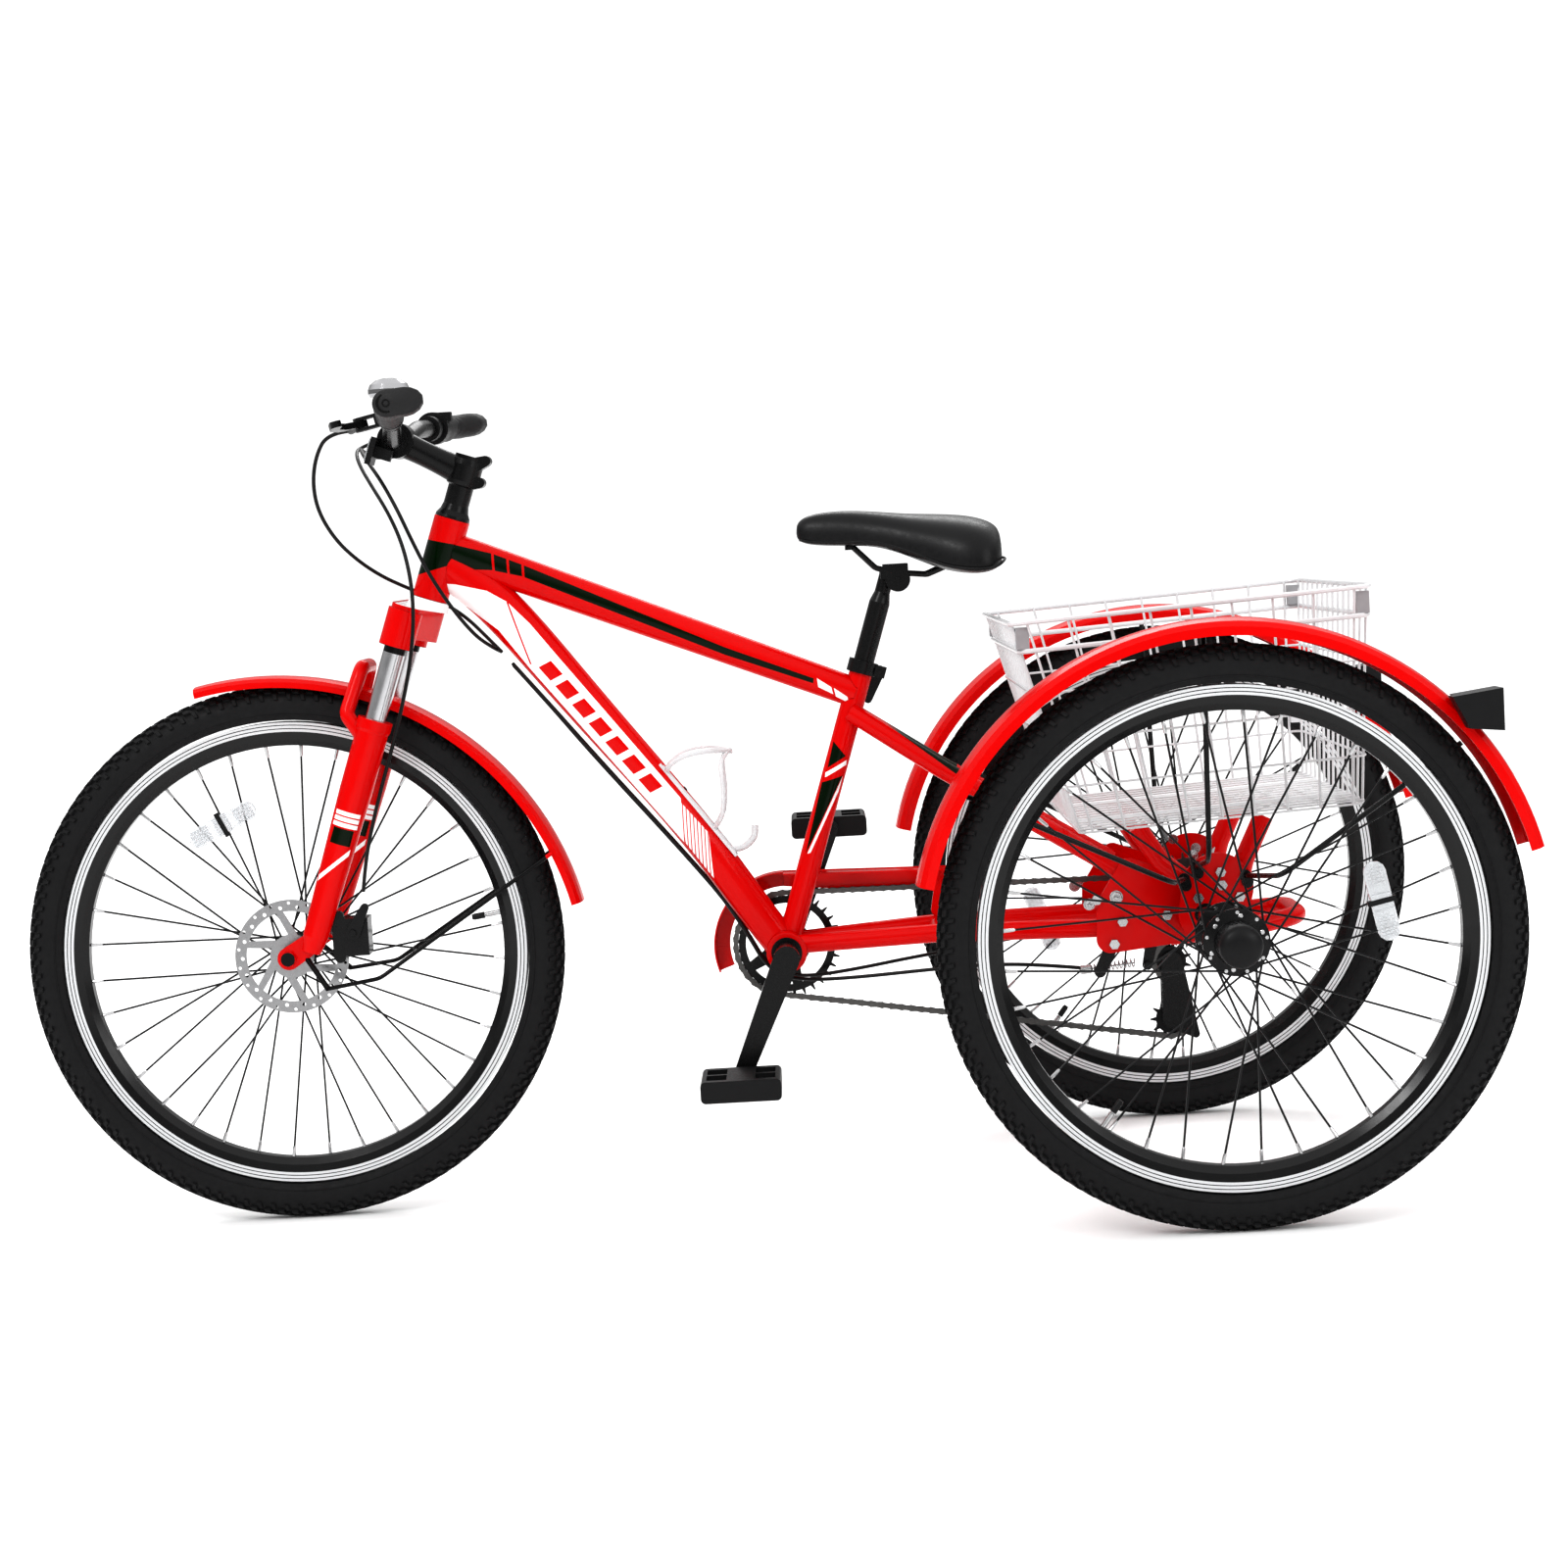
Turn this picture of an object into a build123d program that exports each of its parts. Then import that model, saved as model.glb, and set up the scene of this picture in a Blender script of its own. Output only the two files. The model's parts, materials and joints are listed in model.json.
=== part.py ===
from build123d import *
from math import asin, atan2, cos, degrees, pi, radians, sin, sqrt
import os

# Adult tricycle with three 26 inch wheels, in millimetres.
# +Z is up, the front wheel is toward -X and the rider's left is toward -Y.
# The pieces are placed from the rear axle and moved at the end, so that the origin is on the
# ground under the middle of the whole tricycle.

# Overall sizes
WHEELBASE = 1113.0
REAR_TRACK = 680.0
TYRE_RADIUS = 333.0
TYRE_WIDTH = 54.0
HEAD_ANGLE = 19.3            # steering axis, degrees back from vertical
SEAT_ANGLE = 18.1            # seat tube, degrees back from vertical
BB_TO_FRONT_AXLE = 608.0
BB_DROP = 31.0               # bottom bracket below the axles
FORK_OFFSET = 41.5           # axle ahead of the steering axis
SUSPENSION_TRAVEL = 50.0

# Clearances
RUN = 0.05                   # radial, shaft in its bore
GAP = 0.5                    # between faces that move past each other

# Wheels
TYRE_WALL = 4.5
TUBE_CLEARANCE = 2.0
RIM_OUTER_RADIUS = 287.0
RIM_DEPTH = 29.0
RIM_WIDTH = 30.0
RIM_WALL = 2.4
SPOKES_PER_WHEEL = 36
SPOKE_RADIUS = 1.0
VALVE_RADIUS = 3.0
FRONT_AXLE_RADIUS = 5.0
FRONT_FLANGE_RADIUS = 22.0
FRONT_FLANGE_Y = 26.0
REAR_AXLE_RADIUS = 10.0
REAR_FLANGE_RADIUS = 38.0
REAR_FLANGE_Y = 32.0
HUB_CAP_REACH = 80.0         # hub cap's end beyond the wheel's middle plane
ROTOR_RADIUS = 70.0
ROTOR_Y = -40.0
ROTOR_THICKNESS = 1.8

# Frame
HEAD_TUBE_RADIUS = 22.0
HEAD_TUBE_TOP = 52.0         # along the steering axis from the head tube's middle
HEAD_TUBE_BOTTOM = -50.0
STEERER_RADIUS = 14.3
TUBE_WALL = 2.0
BB_SHELL_RADIUS = 25.0
BB_SHELL_HALF = 34.0
SEAT_TUBE_RADIUS = 14.3
SEAT_TUBE_LENGTH = 368.0
LEVER_Y = 182.0                # brake lever clamps, out from the middle of the bar
SHIFTER_Y = (198.0, 264.0)     # inner and outer end of the twist shifter
BELL_Y = 148.0
SEAT_POST_RADIUS = 12.7
SEAT_POST_SHOWN = 77.0       # straight part above the seat tube
SEAT_POST_INSIDE = 130.0
STAY_RADIUS = 11.5
PLATE_Y = 90.0
PLATE_THICKNESS = 4.0
HOUSING_PLATE_Y = 118.0

# Fork
LEG_Y = 65.0
LEG_AHEAD = 17.0             # leg centre line ahead of the steering axis
STANCHION_RADIUS = 13.5
LOWER_TOP_RADIUS = 20.0
LOWER_END_RADIUS = 15.5
CROWN_ABOVE_TYRE = 71.0

# Handlebar
BAR_RADIUS = 11.1
BAR_CLAMP_RADIUS = 15.9
BAR_HALF = 340.0
GRIP_RADIUS = 16.0

# Fenders
FENDER_THICKNESS = 2.0
REAR_FENDER_CLEARANCE = 29.0
REAR_FENDER_WIDTH = 70.0
REAR_FENDER_DEPTH = 20.0
FRONT_FENDER_RADIUS = 390.0
FRONT_FENDER_WIDTH = 62.0
FRONT_FENDER_DEPTH = 14.0

# Drive
CHAIN_PITCH = 12.7
CHAINRING_TEETH = 32
COG_TEETH = 14
PULLEY_TEETH = 11
CHAIN_Y = 50.0
CHAIN_THICKNESS = 6.0
CHAIN_HEIGHT = 8.0
CRANK_LENGTH = 152.0
CRANK_ANGLE = 246.2          # left arm, degrees from +X toward +Z
CRANK_ARM_Y = 92.0
PEDAL_LENGTH = 96.0
PEDAL_WIDTH = 92.0

# Basket
BASKET_WALL = 4.0
BASKET_HEIGHT = 254.0
BASKET_FLOOR = (338.0, 440.0)
BASKET_RIM = (420.0, 500.0)
BASKET_RIM_SHIFT = -18.0     # rim's middle ahead of the floor's
BASKET_TILT = 2.9            # degrees, rear edge higher

CABLE_RADIUS = 2.3

AXLE_Z = TYRE_RADIUS
WHEEL_Y = REAR_TRACK / 2
BB = (BB_TO_FRONT_AXLE - WHEELBASE, AXLE_Z - BB_DROP)
STEER_AXIS = Vector(sin(radians(HEAD_ANGLE)), 0, cos(radians(HEAD_ANGLE)))
STEER_AHEAD = Vector(-cos(radians(HEAD_ANGLE)), 0, sin(radians(HEAD_ANGLE)))
CROWN_BOTTOM = -114.0
AXLE_S = CROWN_BOTTOM - CROWN_ABOVE_TYRE - TYRE_RADIUS
FRONT_AXLE = Vector(-WHEELBASE, 0, AXLE_Z)
HEAD = FRONT_AXLE - STEER_AHEAD * FORK_OFFSET - STEER_AXIS * AXLE_S
SEAT_AXIS = Vector(sin(radians(SEAT_ANGLE)), 0, cos(radians(SEAT_ANGLE)))


def steer(ahead, y, along):
    """Point at a distance ahead of the steering axis, across, and along it."""
    return HEAD + STEER_AHEAD * ahead + STEER_AXIS * along + Vector(0, y, 0)


def seat(along, y=0.0, ahead=0.0):
    """Point on the seat tube's axis, measured up from the bottom bracket."""
    side = Vector(-SEAT_AXIS.Z, 0, SEAT_AXIS.X) * ahead
    return Vector(BB[0], y, BB[1]) + SEAT_AXIS * along + side


def bb(dx, y, dz):
    """Point measured from the bottom bracket's middle."""
    return Vector(BB[0] + dx, y, BB[1] + dz)


def axle(x, y, z):
    """Point measured from the rear axle's middle."""
    return Vector(x, y, AXLE_Z + z)


def mirror_y(shape):
    return mirror(shape, about=Plane.XZ)


def rod(start, end, radius, bore=0.0):
    """Round bar between two points, or a tube when it has a bore."""
    reach = Vector(*end) - Vector(*start)
    plane = Plane(origin=start, z_dir=reach)
    bar = Solid.make_cylinder(radius, reach.length, plane)
    if bore:
        bar = bar - Solid.make_cylinder(bore, reach.length, plane)
    return bar


def pipe(points, radius, bend, bore=0.0):
    """Round bar along straight runs with filleted corners."""
    path = FilletPolyline(*points, radius=bend)
    plane = Plane(origin=path @ 0, z_dir=path % 0)
    bar = sweep(plane * Circle(radius), path=path)
    if bore:
        bar = bar - sweep(plane * Circle(bore), path=path)
    return bar


def lathe(origin, direction, outline):
    """Solid of revolution; the outline is a list of (radius, distance along the axis)."""
    direction = Vector(*direction).normalized()
    other = Vector(0, 0, 1) if abs(direction.Z) < 0.9 else Vector(1, 0, 0)
    x_dir = direction.cross(other).normalized()
    plane = Plane(origin=origin, x_dir=x_dir, z_dir=x_dir.cross(direction))
    face = plane * make_face(Polyline(*outline, close=True))
    return revolve(face, Axis(origin, direction))


def plate(sketch, y_from, y_to):
    """Sketch in X and Z, extruded along Y."""
    plane = Plane(origin=(0, y_from, 0), x_dir=(1, 0, 0), z_dir=(0, -1, 0))
    return extrude(plane * sketch, amount=-(y_to - y_from))


def disc(x, z, radius):
    return Pos(x, z) * Circle(radius)


def link(*circles):
    """Plate outline around two or more circles, each (x, z, radius)."""
    return make_hull([disc(*circle).edge() for circle in circles])


def fender_section(radius, width, depth, thickness):
    """Closed outline of a rolled fender's section, (radius, across) points."""
    half = width / 2
    outer = [(radius - depth, half), (radius - 0.5 * depth, 0.97 * half), (radius - 0.2 * depth, 0.8 * half),
             (radius - 0.05 * depth, 0.45 * half), (radius, 0)]
    outer += [(r, -y) for r, y in reversed(outer[:-1])]
    inner = []
    for r, y in outer:
        sign = 1 if y > 0 else -1 if y < 0 else 0
        edge = abs(y) > 0.9 * half
        inner.append((r if edge else r - thickness, y - sign * thickness * (1.0 if edge else 0.35)))
    return outer + list(reversed(inner))


def fender(centre, y, radius, width, depth, angle_from, angle_to):
    """Curved fender about a centre (x, z), between two angles up from +X."""
    face = make_face(Polyline(*fender_section(radius, width, depth, FENDER_THICKNESS), close=True))
    arc = revolve(face, Axis.Y, revolution_arc=angle_to - angle_from)
    return Pos(centre[0], y, centre[1]) * Rot(0, -angle_to, 0) * arc


def belt_wire(circles, offset):
    """Closed line round circles (x, z, radius, side); side 1 keeps the circle on its left."""
    count = len(circles)
    runs = []
    for i in range(count):
        x1, z1, r1, s1 = circles[i]
        x2, z2, r2, s2 = circles[(i + 1) % count]
        r1, r2 = r1 - s1 * offset, r2 - s2 * offset
        span = sqrt((x2 - x1) ** 2 + (z2 - z1) ** 2)
        angle = atan2(z2 - z1, x2 - x1) - asin((s2 * r2 - s1 * r1) / span)
        nx, nz = -sin(angle), cos(angle)
        runs.append(((x1 - s1 * r1 * nx, z1 - s1 * r1 * nz), (x2 - s2 * r2 * nx, z2 - s2 * r2 * nz)))
    edges = []
    for i in range(count):
        x, z, r, s = circles[i]
        r = r - s * offset
        start, end = runs[i - 1][1], runs[i][0]
        a = atan2(start[1] - z, start[0] - x)
        turn = (atan2(end[1] - z, end[0] - x) - a) * s % (2 * pi) * s
        middle = (x + r * cos(a + turn / 2), z + r * sin(a + turn / 2))
        edges.append(ThreePointArc(start, middle, end))
        edges.append(Line(*runs[i]))
    return edges


NODES = {}


def piece(name, *shapes):
    """Keep the solids of one named piece."""
    NODES[name] = [solid for shape in shapes for solid in shape.solids()]


# ---------------------------------------------------------------- wheels

def tyre(x, y):
    """Tyre with its beads inside the rim, and the inner tube with its valve."""
    middle = TYRE_RADIUS - TYRE_WIDTH / 2
    hollow = TYRE_WIDTH / 2 - TYRE_WALL
    seat_radius = RIM_OUTER_RADIUS + 0.4
    ring = disc(middle, 0, TYRE_WIDTH / 2) - disc(middle, 0, hollow)
    ring -= Pos(seat_radius - 50, 0) * Rectangle(100, 100)
    bead_y = RIM_WIDTH / 2 - RIM_WALL - 0.3
    bead = Pos((RIM_OUTER_RADIUS - 6 + seat_radius + 4) / 2, bead_y - 2.5) * Rectangle(10 + 0.4, 5)
    foot = Pos(seat_radius + 2, bead_y) * Rectangle(4, 9)
    ring += bead + mirror(bead, about=Plane.XZ)
    ring += foot + mirror(foot, about=Plane.XZ)
    ring -= disc(middle, 0, hollow)
    axis = Axis((0, 0, 0), (0, 1, 0))
    cover = revolve(ring, axis)
    inner = revolve(disc(middle, 0, hollow - TUBE_CLEARANCE) - disc(middle, 0, hollow - TUBE_CLEARANCE - 1), axis)
    valve_top = (middle - hollow + TUBE_CLEARANCE, 0, 0)
    valve = Rot(0, VALVE_ANGLE[x], 0) * rod((RIM_OUTER_RADIUS - RIM_DEPTH - 16, 0, 0), valve_top, VALVE_RADIUS)
    place = Pos(x, y, AXLE_Z)
    return place * cover, place * inner, place * (valve - inner)


def rim(x, y):
    """Single-wall channel rim with a valve hole."""
    outer, inner, half = RIM_OUTER_RADIUS, RIM_OUTER_RADIUS - RIM_DEPTH, RIM_WIDTH / 2
    outline = [(inner, -0.45 * half), (inner, 0.45 * half), (inner + 8, 0.85 * half), (outer - 12, half),
               (outer, half), (outer, half - RIM_WALL), (outer - 11, half - RIM_WALL),
               (inner + 9, 0.85 * half - RIM_WALL), (inner + RIM_WALL, 0.4 * half)]
    outline += [(r, -a) for r, a in reversed(outline[2:])]
    ring = revolve(make_face(Polyline(*outline, close=True)), Axis.Y)
    hole = Rot(0, VALVE_ANGLE[x], 0) * rod((inner - 5, 0, 0), (inner + 12, 0, 0), VALVE_RADIUS + 0.5)
    return Pos(x, y, AXLE_Z) * (ring - hole)


def spokes(x, y, flange_radius, flange_y):
    """Crossed spokes that lie on the flanges' faces and end at the rim."""
    bars = []
    per_side = SPOKES_PER_WHEEL // 2
    inner = RIM_OUTER_RADIUS - RIM_DEPTH - 0.3
    circle = flange_radius - 4
    for side in (-1, 1):
        for i in range(per_side):
            outside = i % 2
            lead = 1 if outside else -1
            at_rim = radians(360 / SPOKES_PER_WHEEL * (2 * i + (side + 1) / 2) + 5)
            at_hub = at_rim + lead * radians(62)
            y_hub = side * (flange_y + (1.5 + SPOKE_RADIUS) * (1 if outside else -1))
            start = (circle * cos(at_hub), y_hub, circle * sin(at_hub))
            end = (inner * cos(at_rim), side * 3.0, inner * sin(at_rim))
            bars.append(Pos(x, y, AXLE_Z) * rod(start, end, SPOKE_RADIUS))
    return bars


def hub_outline(shell, flange, flange_y, half, bore):
    return [(bore, -half), (shell, -half), (shell, -flange_y - 1.5), (flange, -flange_y - 1.5),
            (flange, -flange_y + 1.5), (shell - 2, -flange_y + 6), (shell - 2, flange_y - 6),
            (flange, flange_y - 1.5), (flange, flange_y + 1.5), (shell, flange_y + 1.5), (shell, half), (bore, half)]


def reflector(x, y, radius, angle, flange_y):
    """Flat reflector clipped across the spokes of one side."""
    slab = Box(27, 4, 92)
    return Pos(x, y, AXLE_Z) * Rot(0, -angle, 0) * Pos(radius, flange_y, 0) * slab


VALVE_ANGLE = {-WHEELBASE: -8.0, 0: 127.0}


def make_wheels():
    front_x = -WHEELBASE
    piece("tyre_front", *tyre(front_x, 0))
    piece("rim_front", rim(front_x, 0))
    shell = lathe((front_x, 0, AXLE_Z), (0, 1, 0),
                  hub_outline(14, FRONT_FLANGE_RADIUS, FRONT_FLANGE_Y, 35, FRONT_AXLE_RADIUS + RUN))
    mark = reflector(front_x, 0, 183, 116, -10)
    bars = [bar - mark for bar in spokes(front_x, 0, FRONT_FLANGE_RADIUS, FRONT_FLANGE_Y)]
    piece("spoked_hub_front", shell, *bars, mark)
    carrier_outer = lathe((front_x, 0, AXLE_Z), (0, 1, 0), [
        (14.2, ROTOR_Y + 1), (26, ROTOR_Y + 1), (26, ROTOR_Y + 4), (14.2, -35)])
    band = ROTOR_RADIUS - 14
    face = disc(front_x, AXLE_Z, ROTOR_RADIUS) - disc(front_x, AXLE_Z, band)
    for i in range(6):
        a = radians(60 * i + 15)
        b = a + radians(28)
        inner = (front_x + 22 * cos(a), AXLE_Z + 22 * sin(a), 5)
        outer = (front_x + (band + 3) * cos(b), AXLE_Z + (band + 3) * sin(b), 4)
        face += link(inner, outer)
    face += disc(front_x, AXLE_Z, 27) - disc(front_x, AXLE_Z, 14.2)
    face -= disc(front_x, AXLE_Z, 14.2)
    for i in range(18):
        a = radians(20 * i)
        face -= disc(front_x + (band + 5) * cos(a), AXLE_Z + (band + 5) * sin(a), 2.4)
        a += radians(10)
        face -= disc(front_x + (band + 10) * cos(a), AXLE_Z + (band + 10) * sin(a), 2.0)
    rotor = plate(face, ROTOR_Y - ROTOR_THICKNESS / 2, ROTOR_Y + ROTOR_THICKNESS / 2)
    piece("brake_rotor", rotor + carrier_outer)
    for name, side in (("left", -1), ("right", 1)):
        y = side * WHEEL_Y
        piece("tyre_" + name, *tyre(0, y))
        piece("rim_" + name, rim(0, y))
        bore = REAR_AXLE_RADIUS + (RUN if name == "left" else 0)
        shell = lathe((0, y, AXLE_Z), (0, 1, 0),
                      hub_outline(22, REAR_FLANGE_RADIUS, REAR_FLANGE_Y, REAR_FLANGE_Y + 8, bore))
        cap_base, cap_end = REAR_FLANGE_Y + 8, HUB_CAP_REACH
        cap = lathe((0, y, AXLE_Z), (0, side, 0), [
            (0, cap_base + 8), (21, cap_base + 8), (21, cap_base), (24, cap_base), (24, cap_end - 18),
            (21.5, cap_end - 9), (15, cap_end - 3), (0, cap_end)])
        mark = reflector(0, y, 170, 12 if side < 0 else 200, side * 16)
        bars = [bar - mark for bar in spokes(0, y, REAR_FLANGE_RADIUS, REAR_FLANGE_Y)]
        piece("spoked_hub_" + name, shell, cap, *bars, mark)
    reach = WHEEL_Y + REAR_FLANGE_Y + 8
    piece("rear_axle", rod(axle(0, -reach, 0), axle(0, reach, 0), REAR_AXLE_RADIUS))


# ---------------------------------------------------------------- frame

def oval(half_high, half_wide):
    return Ellipse(half_high, half_wide)


def oval_tube(stations, wall):
    """Hollow oval tube lofted through (point, direction, half depth, half width) stations."""
    def skin(less):
        faces = []
        for point, direction, high, wide in stations:
            across = Vector(0, 1, 0)
            x_dir = across.cross(Vector(*direction)).normalized()
            faces.append(Plane(origin=point, x_dir=x_dir, z_dir=direction) * oval(high - less, wide - less))
        return loft(faces)
    return skin(0) - skin(wall)


def make_frame():
    head_outer = rod(steer(0, 0, HEAD_TUBE_BOTTOM), steer(0, 0, HEAD_TUBE_TOP), HEAD_TUBE_RADIUS)
    head_bore = rod(steer(0, 0, HEAD_TUBE_BOTTOM), steer(0, 0, HEAD_TUBE_TOP), HEAD_TUBE_RADIUS - 3.5)
    piece("head_tube", head_outer - head_bore)

    seat_outer = rod(seat(BB_SHELL_RADIUS - 4), seat(SEAT_TUBE_LENGTH), SEAT_TUBE_RADIUS)
    bb_outer = rod(bb(0, -BB_SHELL_HALF, 0), bb(0, BB_SHELL_HALF, 0), BB_SHELL_RADIUS)
    seat_bore = rod(seat(0), seat(SEAT_TUBE_LENGTH), SEAT_POST_RADIUS + RUN)
    seat_tube = (seat_outer - bb_outer) - seat_bore
    piece("seat_tube", seat_tube)
    piece("bottom_bracket_shell", bb_outer - rod(bb(0, -40, 0), bb(0, 40, 0), BB_SHELL_RADIUS - 6))

    top_front, top_rear = steer(-22, 0, 14), seat(SEAT_TUBE_LENGTH - 38)
    top_run = top_rear - top_front
    top_outer = oval_tube([(top_front - top_run.normalized() * 20, top_run, 22.5, 18.5),
                           (top_rear, top_run, 18.5, 15.5)], TUBE_WALL)
    top_tube = top_outer - head_outer - seat_outer
    piece("top_tube", max(top_tube.solids(), key=lambda part: part.volume))

    down_points = [steer(0, 0, -4), steer(-52, 0, -20), steer(-131, 0, -64), bb(-206, 0, 287), bb(-65, 0, 96),
                   bb(0, 0, 0)]
    turns = [down_points[1] - down_points[0]]
    turns += [after - before for before, after in zip(down_points, down_points[2:])]
    turns.append(down_points[-1] - down_points[-2])
    depths = [27, 27.5, 27.5, 25.5, 22.5, 21.5]
    stations = [(p, t, d, 19.0) for p, t, d in zip(down_points, turns, depths)]
    down_outer = oval_tube(stations, TUBE_WALL)
    down_tube = down_outer - head_outer - bb_outer - seat_outer
    down_tube = down_tube - rod(steer(0, 0, -120), steer(0, 0, HEAD_TUBE_BOTTOM), HEAD_TUBE_RADIUS + 4)
    for body in NODES["top_tube"]:
        down_tube = down_tube - body
    piece("down_tube", max(down_tube.solids(), key=lambda part: part.volume))

    stays = []
    for side in (-1, 1):
        seat_stay = pipe([seat(SEAT_TUBE_LENGTH - 62, side * 12), bb(200, side * 40, 218),
                          axle(-90, side * (PLATE_Y - STAY_RADIUS), 50)], STAY_RADIUS, 160)
        chain_stay = pipe([bb(16, side * 20, 8), bb(187, side * 46, 16),
                           axle(-100, side * (PLATE_Y - STAY_RADIUS), -16)], STAY_RADIUS, 160)
        stays += [seat_stay - seat_outer, chain_stay - seat_outer - bb_outer]
    for i in range(0, 4, 2):
        stays[i] = max(stays[i].solids(), key=lambda part: part.volume)
        stays[i + 1] = max(stays[i + 1].solids(), key=lambda part: part.volume)
    middle = BRIDGE_Y
    for body in NODES["down_tube"]:
        stays[1], stays[3] = stays[1] - body, stays[3] - body
    bridge = rod(bb(187, -middle, 16), bb(187, middle, 16), 8)
    bridge = bridge - stays[1] - stays[3]
    piece("rear_stays", *stays, bridge)

    cups = [rod(steer(0, 0, s), steer(0, 0, s + 9), HEAD_TUBE_RADIUS - 3.5, STEERER_RADIUS + RUN)
            for s in (HEAD_TUBE_BOTTOM, HEAD_TUBE_TOP - 9)]
    for side in (-1, 1):
        cups.append(rod(bb(0, side * (BB_SHELL_HALF - 14), 0), bb(0, side * BB_SHELL_HALF, 0),
                        BB_SHELL_RADIUS - 6, CRANK_SPINDLE_RADIUS + RUN))
        cups.append(rod(axle(0, side * (PLATE_Y + PLATE_THICKNESS), 0), axle(0, side * HOUSING_PLATE_Y, 0),
                        27, REAR_AXLE_RADIUS + RUN))
    piece("bearing_cups", *cups)


BRIDGE_Y = 44.0
CRANK_SPINDLE_RADIUS = 8.0


def make_carrier():
    outline = link((0, AXLE_Z, 34), (-112, AXLE_Z - 28, 17), (-110, AXLE_Z + 12, 17), (-86, AXLE_Z + 56, 13))
    outline -= disc(0, AXLE_Z, REAR_AXLE_RADIUS + 3)
    near = plate(outline, -PLATE_Y - PLATE_THICKNESS, -PLATE_Y)
    half_round = link((16, AXLE_Z + 30, 43), (0, AXLE_Z, 32)) - disc(0, AXLE_Z, REAR_AXLE_RADIUS + 3)
    side_plate = plate(half_round, -HOUSING_PLATE_Y - PLATE_THICKNESS, -HOUSING_PLATE_Y)
    y = -HOUSING_PLATE_Y + 13
    tilt = radians(BASKET_TILT)
    floor_z = BASKET_FLOOR_Z - 12
    post_a = pipe([axle(-12, y, 34), axle(-50, y, 66), axle(-76, y, floor_z - AXLE_Z - 76 * sin(tilt))], 12, 24)
    post_c = pipe([axle(44, y, 34), axle(52, y, 62), axle(77, y, floor_z - AXLE_Z + 77 * sin(tilt) - 3)], 12, 24)
    housing = rod(axle(0, -HOUSING_PLATE_Y, 0), axle(0, -PLATE_Y - PLATE_THICKNESS, 0), 27.0)
    posts = [(post - housing) for post in (post_a, post_c)]
    rear_y = PLATE_Y - 12
    loop = pipe([axle(-38, -rear_y, -30), axle(60, -rear_y, -24), axle(124, -50, -17), axle(124, 50, -17),
                 axle(60, rear_y, -24), axle(-38, rear_y, -30)], 11.5, 36)
    piece("axle_carrier", near, mirror_y(near), side_plate, mirror_y(side_plate), *posts,
          *[mirror_y(post) for post in posts], loop)

    bolts = []
    spots = [(-97, -7, PLATE_Y), (-43, -2, PLATE_Y), (-127, 21, PLATE_Y), (-108, -34, PLATE_Y),
             (-8, 20, HOUSING_PLATE_Y), (21, 34, HOUSING_PLATE_Y), (42, 19, HOUSING_PLATE_Y),
             (20, 50, HOUSING_PLATE_Y)]
    for x, z, y in spots:
        hexagon = Pos(x, AXLE_Z + z) * RegularPolygon(6.5, 6)
        face = y + PLATE_THICKNESS
        bolts.append(plate(hexagon, -face - 5, -face))
        bolts.append(plate(hexagon, face, face + 5))
    piece("carrier_bolts", *bolts)


BASKET_FLOOR_Z = TYRE_RADIUS + 124.0


def make_basket():
    frame = Plane(origin=(13, 0, BASKET_FLOOR_Z), x_dir=(cos(radians(BASKET_TILT)), 0, sin(radians(BASKET_TILT))),
                  z_dir=(-sin(radians(BASKET_TILT)), 0, cos(radians(BASKET_TILT))))
    wall = BASKET_WALL

    def shell(less, start, end):
        low = Pos(0, 0, start) * Rectangle(BASKET_FLOOR[0] - less, BASKET_FLOOR[1] - less)
        high = Pos(BASKET_RIM_SHIFT, 0, end) * Rectangle(BASKET_RIM[0] - less, BASKET_RIM[1] - less)
        return loft([low, high])

    body = shell(0, 0, BASKET_HEIGHT) - shell(2 * wall, wall, BASKET_HEIGHT + 0.1)
    piece("basket", frame * body)


def make_fenders():
    radius = TYRE_RADIUS + REAR_FENDER_CLEARANCE
    outer = {}
    for name, side in (("left", -1), ("right", 1)):
        body = fender((0, AXLE_Z), side * WHEEL_Y, radius, REAR_FENDER_WIDTH, REAR_FENDER_DEPTH, 14.2, 167)
        piece("rear_fender_" + name, body)
        outer[name] = body
    stays = []
    inner_y = WHEEL_Y - REAR_FENDER_WIDTH / 2
    edge = radius - 0.5 * REAR_FENDER_DEPTH
    base_y = HOUSING_PLATE_Y + PLATE_THICKNESS
    for foot, angle in (((-9, 58), 92), ((-24, 44), 149), ((50, 44), 36.5)):
        a = radians(angle)
        tip = axle(edge * cos(a), -inner_y + 4.5, edge * sin(a))
        start = axle(foot[0], -base_y - 4, foot[1])
        bend = axle(foot[0] + 0.1 * (tip.X - foot[0]), -BASKET_RIM[1] / 2 + 2, foot[1] + 0.06 * (tip.Z - AXLE_Z))
        inside = axle(0.97 * edge * cos(a), -inner_y + 4.5, 0.97 * edge * sin(a))
        stay = pipe([start, bend, inside], 3.2, 30)
        stays.append(stay - outer["left"])
        stays.append(mirror_y(stays[-1]))
        hook = plate(link((foot[0], foot[1] + AXLE_Z, 7), (foot[0] + 2, foot[1] + AXLE_Z - 8, 7)),
                     -base_y - 3, -base_y)
        stays.append(hook - stay)
        stays.append(mirror_y(stays[-1]))
    piece("fender_stays", *stays)
    marks = []
    for side in (-1, 1):
        wedge = Polygon((244, 262), (300, 269), (300, 222), (262, 226), align=None)
        body = plate(Pos(0, AXLE_Z) * wedge, side * WHEEL_Y - 21, side * WHEEL_Y + 21)
        body = body - rod(axle(0, side * WHEEL_Y - 40, 0), axle(0, side * WHEEL_Y + 40, 0), radius + 0.2)
        marks.append(body)
    piece("tail_reflectors", *marks)


# ---------------------------------------------------------------- drive

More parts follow.
